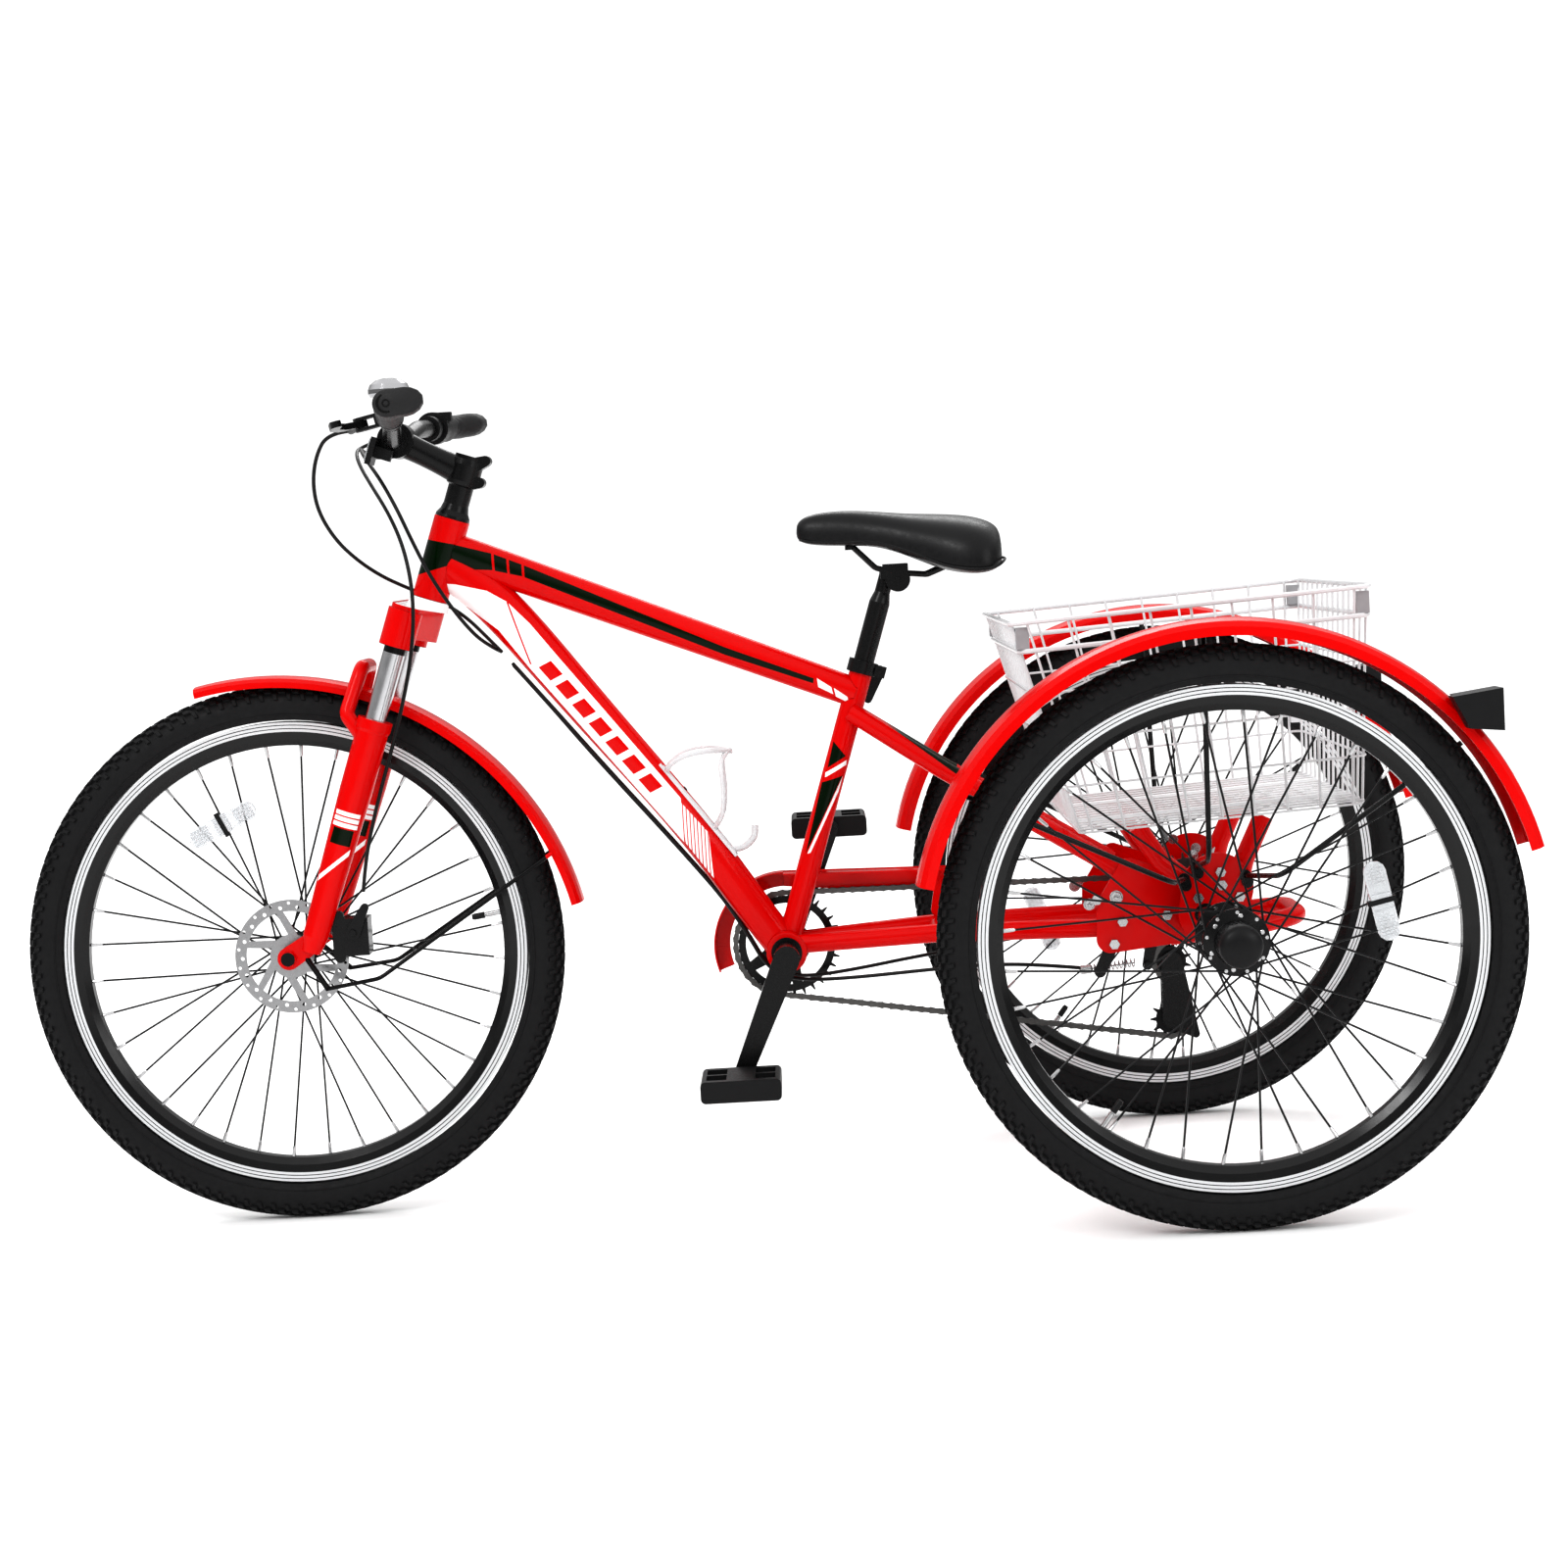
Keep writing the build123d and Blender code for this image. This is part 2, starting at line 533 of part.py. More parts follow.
def pitch_radius(teeth):
    return CHAIN_PITCH / (2 * sin(pi / teeth))


def toothed(x, z, teeth, bore):
    """Sprocket outline: a tooth standing between each pair of chain rollers."""
    root = pitch_radius(teeth) - 3.9
    outline = disc(x, z, root)
    for i in range(teeth):
        a = radians(360 / teeth * (i + 0.5))
        base = (x + root * cos(a) * 0.96, z + root * sin(a) * 0.96, 2.6)
        tip_r = pitch_radius(teeth) + 2.6
        outline += link(base, (x + tip_r * cos(a), z + tip_r * sin(a), 0.9))
    return outline - disc(x, z, bore)


GUIDE_PULLEY = (-23.0, -80.0)
TENSION_PULLEY = (-27.0, -153.0)


def make_drive():
    ring = toothed(BB[0], BB[1], CHAINRING_TEETH, 30)
    ring -= disc(BB[0], BB[1], pitch_radius(CHAINRING_TEETH) - 13)
    for i in range(5):
        a = radians(72 * i + CRANK_ANGLE - 180)
        reach = pitch_radius(CHAINRING_TEETH) - 10
        ring += link((BB[0] + 26 * cos(a), BB[1] + 26 * sin(a), 9), (BB[0] + reach * cos(a), BB[1] + reach * sin(a), 6))
    ring += disc(BB[0], BB[1], 30)
    ring -= disc(BB[0], BB[1], CRANK_SPINDLE_RADIUS + 6)
    piece("chainring", plate(ring, CHAIN_Y - 1, CHAIN_Y + 1))

    circles = [(BB[0], BB[1], pitch_radius(CHAINRING_TEETH), -1), (0, AXLE_Z, pitch_radius(COG_TEETH), -1),
               (GUIDE_PULLEY[0], AXLE_Z + GUIDE_PULLEY[1], pitch_radius(PULLEY_TEETH), 1),
               (TENSION_PULLEY[0], AXLE_Z + TENSION_PULLEY[1], pitch_radius(PULLEY_TEETH), -1)]
    outer = make_face(belt_wire(circles, CHAIN_HEIGHT / 2))
    inner = make_face(belt_wire(circles, -CHAIN_HEIGHT / 2))
    loop = outer - inner
    sides = [plate(loop, CHAIN_Y + s * 2.2 - 0.8, CHAIN_Y + s * 2.2 + 0.8) for s in (-1, 1)]
    piece("drive_chain", *sides)

    spindle = rod(bb(0, -CRANK_ARM_Y, 0), bb(0, CRANK_ARM_Y, 0), CRANK_SPINDLE_RADIUS)
    arms = []
    for side in (-1, 1):
        a = radians(CRANK_ANGLE + (0 if side < 0 else 180))
        end_x, end_z = BB[0] + CRANK_LENGTH * cos(a), BB[1] + CRANK_LENGTH * sin(a)
        y1, y2 = sorted((side * (CRANK_ARM_Y - 14), side * CRANK_ARM_Y))
        arm = plate(link((BB[0], BB[1], 16), (end_x, end_z, 11)), y1, y2)
        arm = arm - rod((end_x, y1 - 1, end_z), (end_x, y2 + 1, end_z), PEDAL_AXLE_RADIUS + RUN)
        arms.append(arm)
    boss = rod(bb(0, BB_SHELL_HALF + 3, 0), bb(0, CRANK_ARM_Y - 10, 0), CRANK_SPINDLE_RADIUS + 6)
    left_boss = rod(bb(0, -CRANK_ARM_Y + 10, 0), bb(0, -BB_SHELL_HALF - 3, 0), CRANK_SPINDLE_RADIUS + 6)
    piece("crankset", spindle + arms[0] + arms[1] + boss + left_boss)

    for name, side in (("left", -1), ("right", 1)):
        a = radians(CRANK_ANGLE + (0 if side < 0 else 180))
        x, z = BB[0] + CRANK_LENGTH * cos(a), BB[1] + CRANK_LENGTH * sin(a)
        start, end = CRANK_ARM_Y + 12, CRANK_ARM_Y + 12 + PEDAL_WIDTH
        y1, y2 = sorted((side * start, side * end))
        body = plate(RectangleRounded(PEDAL_LENGTH, 26, 6), y1, y2)
        for hole_x in (-29, 29):
            for hole_y in (y1 + 27, y2 - 27):
                body = body - Pos(hole_x, hole_y, 0) * Box(24, 32, 40)
        pin = rod((0, side * (CRANK_ARM_Y - 14), 0), (0, side * start, 0), PEDAL_AXLE_RADIUS)
        piece("pedal_" + name, Pos(x, 0, z) * (body + pin))

    cogs = [plate(toothed(0, AXLE_Z, teeth, REAR_AXLE_RADIUS + RUN), CHAIN_Y - 5 * k - 1, CHAIN_Y - 5 * k + 1)
            for k, teeth in enumerate((COG_TEETH, 16, 18, 20, 22, 24, 28))]
    core = rod(axle(0, CHAIN_Y - 31, 0), axle(0, CHAIN_Y + 5, 0), 17, REAR_AXLE_RADIUS + RUN)
    stack = core
    for cog in cogs:
        stack = stack + cog
    piece("cassette", stack)

    for name, (x, z) in (("jockey_wheel_upper", GUIDE_PULLEY), ("jockey_wheel_lower", TENSION_PULLEY)):
        piece(name, plate(toothed(x, AXLE_Z + z, PULLEY_TEETH, PULLEY_PIN_RADIUS + RUN), CHAIN_Y - 1, CHAIN_Y + 1))

    g = (GUIDE_PULLEY[0], AXLE_Z + GUIDE_PULLEY[1])
    t = (TENSION_PULLEY[0], AXLE_Z + TENSION_PULLEY[1])
    cage = [plate(link((*g, 13), (*t, 11), (t[0] + 30, t[1] - 20, 5)), CHAIN_Y + y - 1, CHAIN_Y + y + 1)
            for y in (-7.5, 7.5)]
    pins = [rod((x, CHAIN_Y - 7, z), (x, CHAIN_Y + 7, z), PULLEY_PIN_RADIUS) for x, z in (g, t)]
    arm = plate(link((-23, AXLE_Z - 80, 12), (-42, AXLE_Z - 58, 15)), CHAIN_Y + 9, CHAIN_Y + 22)
    knuckle = plate(link((-42, AXLE_Z - 58, 13), (-58, AXLE_Z - 34, 9)), CHAIN_Y + 14, CHAIN_Y + 26)
    hanger = plate(link((-58, AXLE_Z - 34, 8), (-66, AXLE_Z - 12, 8)), CHAIN_Y + 22, PLATE_Y)
    cage_end = rod((g[0], CHAIN_Y + 8, g[1]), (g[0], CHAIN_Y + 12, g[1]), 9)
    mech = cage[0] + pins[0] + pins[1] + cage[1] + cage_end + arm + knuckle + hanger
    for body in NODES["rear_stays"] + NODES["axle_carrier"]:
        mech = mech - body
    piece("derailleur", max(mech.solids(), key=lambda part: part.volume))


PEDAL_AXLE_RADIUS = 7.0
PULLEY_PIN_RADIUS = 3.0


def make_guard():
    """Chain guard: a band round the front of the chainring and over the upper run."""
    outer_r, inner_r = pitch_radius(CHAINRING_TEETH) + 27, pitch_radius(CHAINRING_TEETH) + 7
    ring = disc(BB[0], BB[1], outer_r) - disc(BB[0], BB[1], inner_r)
    keep = Pos(BB[0] - outer_r / 2, BB[1] + outer_r / 2) * Rectangle(outer_r, outer_r)
    low = Polygon((0, 0), (-2 * outer_r, 0), (-2 * outer_r, -0.72 * outer_r), align=None)
    low = Pos(BB[0], BB[1]) * low
    tail_x = BB[0] + 235
    strip = Polygon((BB[0], BB[1] + outer_r), (tail_x, BB[1] + outer_r - 6), (tail_x, BB[1] + outer_r - 34),
                    (BB[0] + 60, BB[1] + inner_r - 6), (BB[0], BB[1] + inner_r), align=None)
    skins = [plate(part, CHAIN_Y + 12, CHAIN_Y + 14) for part in (ring & keep, ring & low, strip)]
    rim_ring = disc(BB[0], BB[1], outer_r) - disc(BB[0], BB[1], outer_r - 2)
    lips = [plate(part, CHAIN_Y - 8, CHAIN_Y + 12) for part in (rim_ring & keep, rim_ring & low)]
    top = plate(Polygon((BB[0], BB[1] + outer_r), (tail_x, BB[1] + outer_r - 6),
                        (tail_x, BB[1] + outer_r - 8), (BB[0], BB[1] + outer_r - 2), align=None),
                CHAIN_Y - 8, CHAIN_Y + 12)
    tab = plate(link((BB[0] + 200, BB[1] + outer_r - 15, 9), (BB[0] + 192, BB[1] + 34, 9)), CHAIN_Y - 11, CHAIN_Y - 8)
    bolt = rod(bb(200, CHAIN_Y - 8, outer_r - 15), bb(200, CHAIN_Y + 12, outer_r - 15), 3)
    for body in NODES["rear_stays"]:
        tab = tab - body
    piece("chain_guard", *skins, *lips, top, tab, bolt)


def make_rear_brake():
    """Band brake on the axle's left half, with its arm below it."""
    y1, y2 = -62, -36
    shell = lathe(axle(0, 0, 0), (0, 1, 0), [
        (REAR_AXLE_RADIUS + 1, y1), (44, y1), (47, y1 + 4), (47, y2), (44, y2), (44, y1 + 3),
        (REAR_AXLE_RADIUS + 1, y1 + 3)])
    pin = rod(axle(-56, y1 - 6, -24), axle(-56, y1 + 5, -24), 4)
    lug = plate(link((-56, AXLE_Z - 24, 9), (-36, AXLE_Z - 14, 9)), y1, y1 + 5)
    shell = shell + lug + pin
    stop = plate(link((-126, AXLE_Z - 68, 7), (-112, AXLE_Z - 40, 8)), -PLATE_Y + 1, -PLATE_Y + 5)
    foot = rod(axle(-126, -PLATE_Y + 5, -68), axle(-126, y1 - 8, -68), 5)
    piece("rear_brake_housing", shell, stop + foot)
    arm = plate(link((-56, AXLE_Z - 24, 8), (-66, AXLE_Z - 66, 6)), y1 - 4 - GAP, y1 - GAP)
    arm = arm - rod(axle(-56, y1 - 10, -24), axle(-56, y1 + 5, -24), 4 + RUN)
    barrel = rod(axle(-66, y1 - 12, -66), axle(-66, y1 - 4 - GAP, -66), 5)
    piece("rear_brake_arm", arm + barrel)


# ---------------------------------------------------------------- seat

def make_seat():
    top = SEAT_TUBE_LENGTH
    post = lathe(seat(0), SEAT_AXIS, [
        (0, top - SEAT_POST_INSIDE), (SEAT_POST_RADIUS, top - SEAT_POST_INSIDE), (SEAT_POST_RADIUS, top + SEAT_POST_SHOWN),
        (9.5, top + SEAT_POST_SHOWN + 13), (9.5, top + SEAT_POST_SHOWN + 37), (0, top + SEAT_POST_SHOWN + 37)])
    head = seat(top + SEAT_POST_SHOWN + 30)
    pivot = Vector(head.X + 14.0, 0, head.Z - 1.0)
    lug = plate(link((pivot.X, pivot.Z, 10), (head.X, head.Z, 6)), -7, 7)
    lug = lug - rod((pivot.X, -8, pivot.Z), (pivot.X, 8, pivot.Z), 3 + RUN)
    piece("seatpost", post + lug)

    rails = []
    clamps = []
    bolt = rod((pivot.X, -29, pivot.Z), (pivot.X, 29, pivot.Z), 3)
    for side in (-1, 1):
        rail = pipe([pivot + Vector(-56, side * 15, 46), pivot + Vector(-26, side * 20, 15),
                     pivot + Vector(0, side * 22, 8), pivot + Vector(36, side * 24, 4),
                     pivot + Vector(62, side * 34, 14)], 3.5, 12)
        y1, y2 = sorted((side * 12, side * 27))
        cheek = plate(disc(pivot.X, pivot.Z, 15) + Pos(pivot.X - 4, pivot.Z + 8) * Rectangle(34, 14), y1, y2)
        clamps.append(cheek - rail)
        rails.append(rail)
    yoke = Pos(pivot.X - 2, 0, pivot.Z + 16.5) * Box(30, 54, 5)
    piece("saddle_clamp", (clamps[0] + clamps[1] + yoke + bolt) - rails[0] - rails[1])

    # (distance behind the nose, half width, underside, top) above the pivot
    sections = [(4, 10, 54, 74), (24, 22, 46, 86), (60, 30, 43, 88), (100, 40, 44, 84), (140, 58, 28, 79),
                (180, 84, 6, 77), (215, 98, 0, 74), (240, 94, 2, 66), (256, 60, 16, 52)]
    nose_x = pivot.X - 125

    def skin(raise_low, lower_top, narrow):
        faces = []
        for x, half, low, high in sections:
            low, high, half = low + raise_low, high - lower_top, half - narrow
            plane = Plane(origin=(nose_x + x, 0, pivot.Z + low), x_dir=(0, 1, 0), z_dir=(1, 0, 0))
            deep = (high - low)
            line = [(-half, 0.12 * deep), (-0.82 * half, 0.72 * deep), (0, deep), (0.82 * half, 0.72 * deep),
                    (half, 0.12 * deep)]
            curve = Spline(*line)
            base = Polyline(line[-1], (0.8 * half, 0), (-0.8 * half, 0), line[0])
            faces.append(plane * make_face([*curve.edges(), *base.edges()]))
        return loft(faces, ruled=True)

    pad = skin(0, 0, 0)
    rail_room = [rod(pivot + Vector(-58, s * 15, 48), pivot + Vector(-26, s * 20, 15), 6) for s in (-1, 1)]
    rail_room += [rod(pivot + Vector(36, s * 24, 4), pivot + Vector(66, s * 36, 16), 6) for s in (-1, 1)]
    for room in rail_room:
        pad = pad - room
    piece("saddle_pad", max(pad.solids(), key=lambda part: part.volume))
    feet = [Pos(pivot.X - 58, 0, pivot.Z + 42) * Box(8, 44, 6), Pos(pivot.X + 64, 0, pivot.Z + 12) * Box(8, 84, 8)]
    base = [(foot - pad - rails[0] - rails[1]) for foot in feet]
    piece("saddle_frame", *rails, *base)

    ring_low, ring_high = top - 13, top + 3
    ring = rod(seat(ring_low), seat(ring_high), SEAT_TUBE_RADIUS + 4, SEAT_TUBE_RADIUS)
    cap = rod(seat(top), seat(ring_high), SEAT_TUBE_RADIUS + 4, SEAT_POST_RADIUS + RUN)
    ring = ring + cap
    middle = seat((ring_low + ring_high) / 2, 0, -SEAT_TUBE_RADIUS - 8)
    ears = plate(Pos(middle.X, middle.Z) * Rot(0, 0, SEAT_ANGLE * -1) * Rectangle(14, 14), -9, 9)
    ears = ears - rod(seat(ring_low - 9), seat(ring_high + 9), SEAT_TUBE_RADIUS + 1)
    pin = rod((middle.X, -12, middle.Z), (middle.X, 19, middle.Z), 3)
    piece("seat_clamp", ring + ears + pin)
    tip = middle + Vector(-16, 0, -34)
    lever = plate(link((middle.X, middle.Z, 7), (tip.X, tip.Z, 5)), 13, 20)
    lever = lever - rod((middle.X, 8, middle.Z), (middle.X, 19.3, middle.Z), 3 + RUN)
    piece("seat_clamp_lever", lever)
    return pivot


# ---------------------------------------------------------------- fork and front

def make_fork():
    steerer = rod(steer(0, 0, -80), steer(0, 0, 128), STEERER_RADIUS, 11.5)
    race = lathe(steer(0, 0, 0), STEER_AXIS, [
        (STEERER_RADIUS - 1, -62), (26, -62), (24, HEAD_TUBE_BOTTOM - GAP), (STEERER_RADIUS - 1, HEAD_TUBE_BOTTOM - GAP)])
    plane = Plane(origin=steer(0, 0, CROWN_BOTTOM + 14), x_dir=STEER_AHEAD, z_dir=STEER_AXIS)
    bridge = make_hull([(Pos(2, 0) * Circle(24)).edge(), (Pos(LEG_AHEAD, LEG_Y) * Circle(18)).edge(),
                        (Pos(LEG_AHEAD, -LEG_Y) * Circle(18)).edge()])
    crown = extrude(plane * bridge, amount=38)
    crown = crown + race + steerer
    for side in (-1, 1):
        y = side * LEG_Y
        crown = crown + rod(steer(LEG_AHEAD, y, CROWN_BOTTOM), steer(LEG_AHEAD, y, CROWN_BOTTOM + 46), 21)
        crown = crown - rod(steer(LEG_AHEAD, y, CROWN_BOTTOM), steer(LEG_AHEAD, y, CROWN_BOTTOM + 40), STANCHION_RADIUS)
    crown = crown - rod(steer(0, 0, -140), steer(0, 0, 130), 11.5)

    end = AXLE_S + 218
    piece("fork_crown", crown, *[
        rod(steer(LEG_AHEAD, s * LEG_Y, end), steer(LEG_AHEAD, s * LEG_Y, CROWN_BOTTOM + 40), STANCHION_RADIUS, 11)
        for s in (-1, 1)])

    top = CROWN_BOTTOM - SUSPENSION_TRAVEL - 42
    foot = AXLE_S + 16
    legs = None
    for side in (-1, 1):
        origin = steer(LEG_AHEAD, side * LEG_Y, 0)
        bore = STANCHION_RADIUS + RUN
        leg = lathe(origin, STEER_AXIS, [
            (bore, top), (LOWER_TOP_RADIUS + 1.5, top), (LOWER_TOP_RADIUS + 1.5, top - 12), (LOWER_TOP_RADIUS, top - 16),
            (LOWER_TOP_RADIUS, top - 90), (LOWER_END_RADIUS, foot + 20), (LOWER_END_RADIUS - 4, foot), (0, foot),
            (0, end - SUSPENSION_TRAVEL - 12), (bore, end - SUSPENSION_TRAVEL - 6)])
        y1, y2 = sorted((side * 53, side * 63))
        x1, z1 = steer(LEG_AHEAD, 0, foot + 14).X, steer(LEG_AHEAD, 0, foot + 14).Z
        drop = plate(link((x1, z1, 13), (FRONT_AXLE.X, FRONT_AXLE.Z, 14)), y1, y2)
        part = leg + drop
        legs = part if legs is None else legs + part
    ahead = LEG_AHEAD + 37
    arch = pipe([steer(LEG_AHEAD + 8, LEG_Y, top - 26), steer(ahead, LEG_Y - 6, top - 4),
                 steer(ahead, 36, top + 54), steer(ahead, -36, top + 54),
                 steer(ahead, -LEG_Y + 6, top - 4), steer(LEG_AHEAD + 8, -LEG_Y, top - 26)], 9, 14)
    arch = arch - rod(steer(LEG_AHEAD, LEG_Y, top - 60), steer(LEG_AHEAD, LEG_Y, top + 60), LOWER_TOP_RADIUS - 3)
    arch = arch - rod(steer(LEG_AHEAD, -LEG_Y, top - 60), steer(LEG_AHEAD, -LEG_Y, top + 60), LOWER_TOP_RADIUS - 3)
    lowers = legs + arch
    hole = rod(FRONT_AXLE + Vector(0, -80, 0), FRONT_AXLE + Vector(0, 80, 0), FRONT_AXLE_RADIUS)
    lowers = lowers - hole
    skewer = rod(FRONT_AXLE + Vector(0, -66, 0), FRONT_AXLE + Vector(0, 66, 0), FRONT_AXLE_RADIUS)
    for side in (-1, 1):
        y1, y2 = sorted((side * 63, side * 71))
        skewer = skewer + plate(Pos(FRONT_AXLE.X, FRONT_AXLE.Z) * RegularPolygon(10, 6), y1, y2)
        y1, y2 = sorted((side * 36, side * 53))
        skewer = skewer + rod((FRONT_AXLE.X, y1, FRONT_AXLE.Z), (FRONT_AXLE.X, y2, FRONT_AXLE.Z), 9)
    piece("fork_lowers", lowers, skewer - lowers)

    centre = (FRONT_AXLE.X - 19, AXLE_Z - 45)
    body = fender(centre, 0, FRONT_FENDER_RADIUS, FRONT_FENDER_WIDTH, FRONT_FENDER_DEPTH, 13.4, 102.3)
    for side in (-1, 1):
        leg = rod(steer(LEG_AHEAD, side * LEG_Y, top), steer(LEG_AHEAD, side * LEG_Y, foot), LOWER_TOP_RADIUS + 2)
        body = body - leg
    stays = []
    for side in (-1, 1):
        a = radians(24)
        tip = Vector(centre[0] + 379 * cos(a), side * (FRONT_FENDER_WIDTH / 2 + 3.2), centre[1] + 379 * sin(a))
        stays.append(pipe([FRONT_AXLE + Vector(50, side * 88, -36), FRONT_AXLE + Vector(112, side * 80, -28), tip],
                          2.6, 30))
        lug = rod(FRONT_AXLE + Vector(50, side * 90, -36), FRONT_AXLE + Vector(22, side * 60, -2), 3.5)
        stays[-1] = stays[-1] + lug
        for part in lowers.solids():
            stays[-1] = stays[-1] - part
    piece("front_fender", body, *stays)

    x, z = FRONT_AXLE.X + 77, FRONT_AXLE.Z + 22
    block = Pos(x, ROTOR_Y - 5, z) * Box(44, 34, 46)
    slot = Pos(x, ROTOR_Y, z) * Box(60, 5, 60)
    tabs = plate(link((x - 14, z + 26, 7), (x - 14, z - 24, 7)), ROTOR_Y - 22, ROTOR_Y - 14)
    body = (block + tabs) - slot
    bridge = plate(Pos(x + 19.5, z) * Rectangle(5, 46), ROTOR_Y - 4, ROTOR_Y + 4)
    pin = rod((x + 4, ROTOR_Y - 30, z + 6), (x + 4, ROTOR_Y - 20, z + 6), 4)
    body = body + bridge + pin
    for part in lowers.solids():
        body = body - part
    piece("front_caliper", max(body.solids(), key=lambda part: part.volume))
    arm_y = ROTOR_Y - 22 - GAP
    arm = plate(link((x + 4, z + 6, 9), (x + 20, z + 36, 5)), arm_y - 5, arm_y)
    arm = arm - rod((x + 4, arm_y - 20, z + 6), (x + 4, arm_y + 2, z + 6), 4 + RUN)
    piece("front_caliper_arm", arm)


BAR_CENTRE = (90.4, 125.2)
BAR_RISE = (86.0, 120.0, 145.8)
BAR_END = (66.1, BAR_HALF, 163.3)


def bar_at(y):
    """Point on the handlebar's outer run at a distance across."""
    rise, end = steer(*BAR_RISE), steer(*BAR_END)
    share = (abs(y) - BAR_RISE[1]) / (BAR_END[1] - BAR_RISE[1])
    point = rise + (end - rise) * share
    return Vector(point.X, y, point.Z)


def make_cockpit():
    end, rise = steer(*BAR_END), steer(*BAR_RISE)
    left = [Vector(p.X, -p.Y, p.Z) for p in (end, rise)]
    centre = [steer(BAR_CENTRE[0], -45, BAR_CENTRE[1]), steer(BAR_CENTRE[0], 45, BAR_CENTRE[1])]
    bar = pipe([*left, *centre, rise, end], BAR_RADIUS, 60, BAR_RADIUS - 2.2)
    bulge = rod(steer(BAR_CENTRE[0], -26, BAR_CENTRE[1]), steer(BAR_CENTRE[0], 26, BAR_CENTRE[1]),
                BAR_CLAMP_RADIUS, BAR_RADIUS - 1)
    piece("handlebar", bar + bulge)

    clamp_s = 110.0
    column = lathe(steer(0, 0, 0), STEER_AXIS, [
        (STEERER_RADIUS, HEAD_TUBE_TOP + GAP), (HEAD_TUBE_RADIUS - 0.5, HEAD_TUBE_TOP + GAP), (21, 56), (17.5, 62),
        (15.6, 70), (15.6, clamp_s - 17), (19, clamp_s - 15), (20, clamp_s - 10), (20, clamp_s + 10),
        (19, clamp_s + 17), (STEERER_RADIUS, clamp_s + 17)])
    start, finish = steer(0, 0, clamp_s), steer(BAR_CENTRE[0], 0, BAR_CENTRE[1])
    reach = finish - start
    neck = oval_tube([(start, reach, 19, 17), (start + reach * 0.45, reach, 15.5, 14),
                      (finish, reach, 17.5, 19)], 6)
    grip_ring = rod(finish - Vector(0, 23, 0), finish + Vector(0, 23, 0), 22)
    ears = plate(link((start.X + 27, start.Z + 13, 6.5), (start.X + 14, start.Z + 9, 9))
                 + link((start.X + 18, start.Z - 13, 6.5), (start.X + 6, start.Z - 12, 9)), -12, 12)
    cap = rod(steer(0, 0, clamp_s + 17), steer(0, 0, clamp_s + 22), 17)
    body = column + neck + grip_ring + ears + cap
    body = body - rod(steer(0, 0, 40), steer(0, 0, clamp_s + 18), STEERER_RADIUS)
    body = body - rod(finish - Vector(0, 60, 0), finish + Vector(0, 60, 0), BAR_CLAMP_RADIUS)
    piece("stem", max(body.solids(), key=lambda part: part.volume))

    grips = []
    for side in (-1, 1):
        inner, outer = bar_at(side * (206 if side < 0 else 266)), bar_at(side * BAR_HALF)
        along = outer - inner
        sleeve = rod(inner, outer, GRIP_RADIUS)
        back = (Vector(1, 0, 0.12) * 1.0).normalized()
        plane = Plane(origin=outer - along.normalized() * 40, x_dir=back, z_dir=Vector(-0.12, 0, 1))
        wing = extrude(plane * (Pos(17, 0) * Ellipse(27, 36)), amount=6, both=True)
        grip = sleeve + wing
        grips.append(grip - rod(bar_at(side * 180), bar_at(side * (BAR_HALF + 0.01)), BAR_RADIUS))
    piece("grips", *grips)

    forward = Vector(-0.978, 0, -0.208)
    across = Vector(-0.208, 0, 0.978)
    mounts = []
    for name, side in (("left", -1), ("right", 1)):
        middle = bar_at(side * LEVER_Y)
        along = bar_at(side * 200) - bar_at(side * 160)
        along = along.normalized()
        ring = rod(middle - along * 8, middle + along * 8, BAR_RADIUS + 5)
        pivot = middle + forward * 34
        plane = Plane(origin=middle - across * 8, x_dir=forward, z_dir=across)
        arm = extrude(plane * make_hull([(Pos(12, 0) * Circle(8)).edge(), (Pos(34, 0) * Circle(9)).edge()]), amount=16)
        inward = Vector(0, -side, 0)
        barrel = rod(middle + forward * 40 + inward * 13, middle + forward * 54 + inward * 42, 5)
        gap_plane = Plane(origin=pivot - across * 4.5, x_dir=forward, z_dir=across)
        slot = extrude(gap_plane * Pos(4, side * -4) * Rectangle(40, 30), amount=9)
        pin = rod(pivot - across * 8, pivot + across * 8, 2.5)
        mount = ((ring + arm) - slot) + pin
        mount = mount - rod(bar_at(side * 140), bar_at(side * 240), BAR_RADIUS)
        mounts += [mount, barrel - mount]
        blade_plane = Plane(origin=pivot - across * 3.7, x_dir=forward, z_dir=across)
        y_sign = -side
        outline = make_hull([(Pos(0, 0) * Circle(7)).edge(), (Pos(20, y_sign * 26) * Circle(6)).edge()])
        outline += make_hull([(Pos(20, y_sign * 26) * Circle(6)).edge(), (Pos(24, y_sign * 60) * Circle(5.5)).edge()])
        outline += make_hull([(Pos(24, y_sign * 60) * Circle(5.5)).edge(), (Pos(16, y_sign * 96) * Circle(6.5)).edge()])
        outline -= Circle(2.5 + RUN)
        blade = extrude(blade_plane * outline, amount=7.4)
        piece("brake_lever_" + name, blade)
    a, b = bar_at(SHIFTER_Y[0]), bar_at(SHIFTER_Y[1])
    along = (b - a).normalized()
    fixed = rod(a, a + along * 18, 21, BAR_RADIUS)
    window = Pos(*(a + along * 9 + Vector(14, 0, 14))) * Box(20, 16, 12)
    window = window - rod(a - along * 9, a + along * 27, 21.0)
    exit_tube = rod(a + along * 9 + forward * 16 + across * -14, a - along * 12 + forward * 34 + across * -22, 4.5)
    exit_tube = exit_tube - rod(a, a + along * 18, 20.9)
    piece("bar_controls", *mounts, fixed + window, exit_tube)
    piece("shifter_grip", rod(a + along * (18 + GAP), b - along * GAP, 18.5, BAR_RADIUS + RUN))

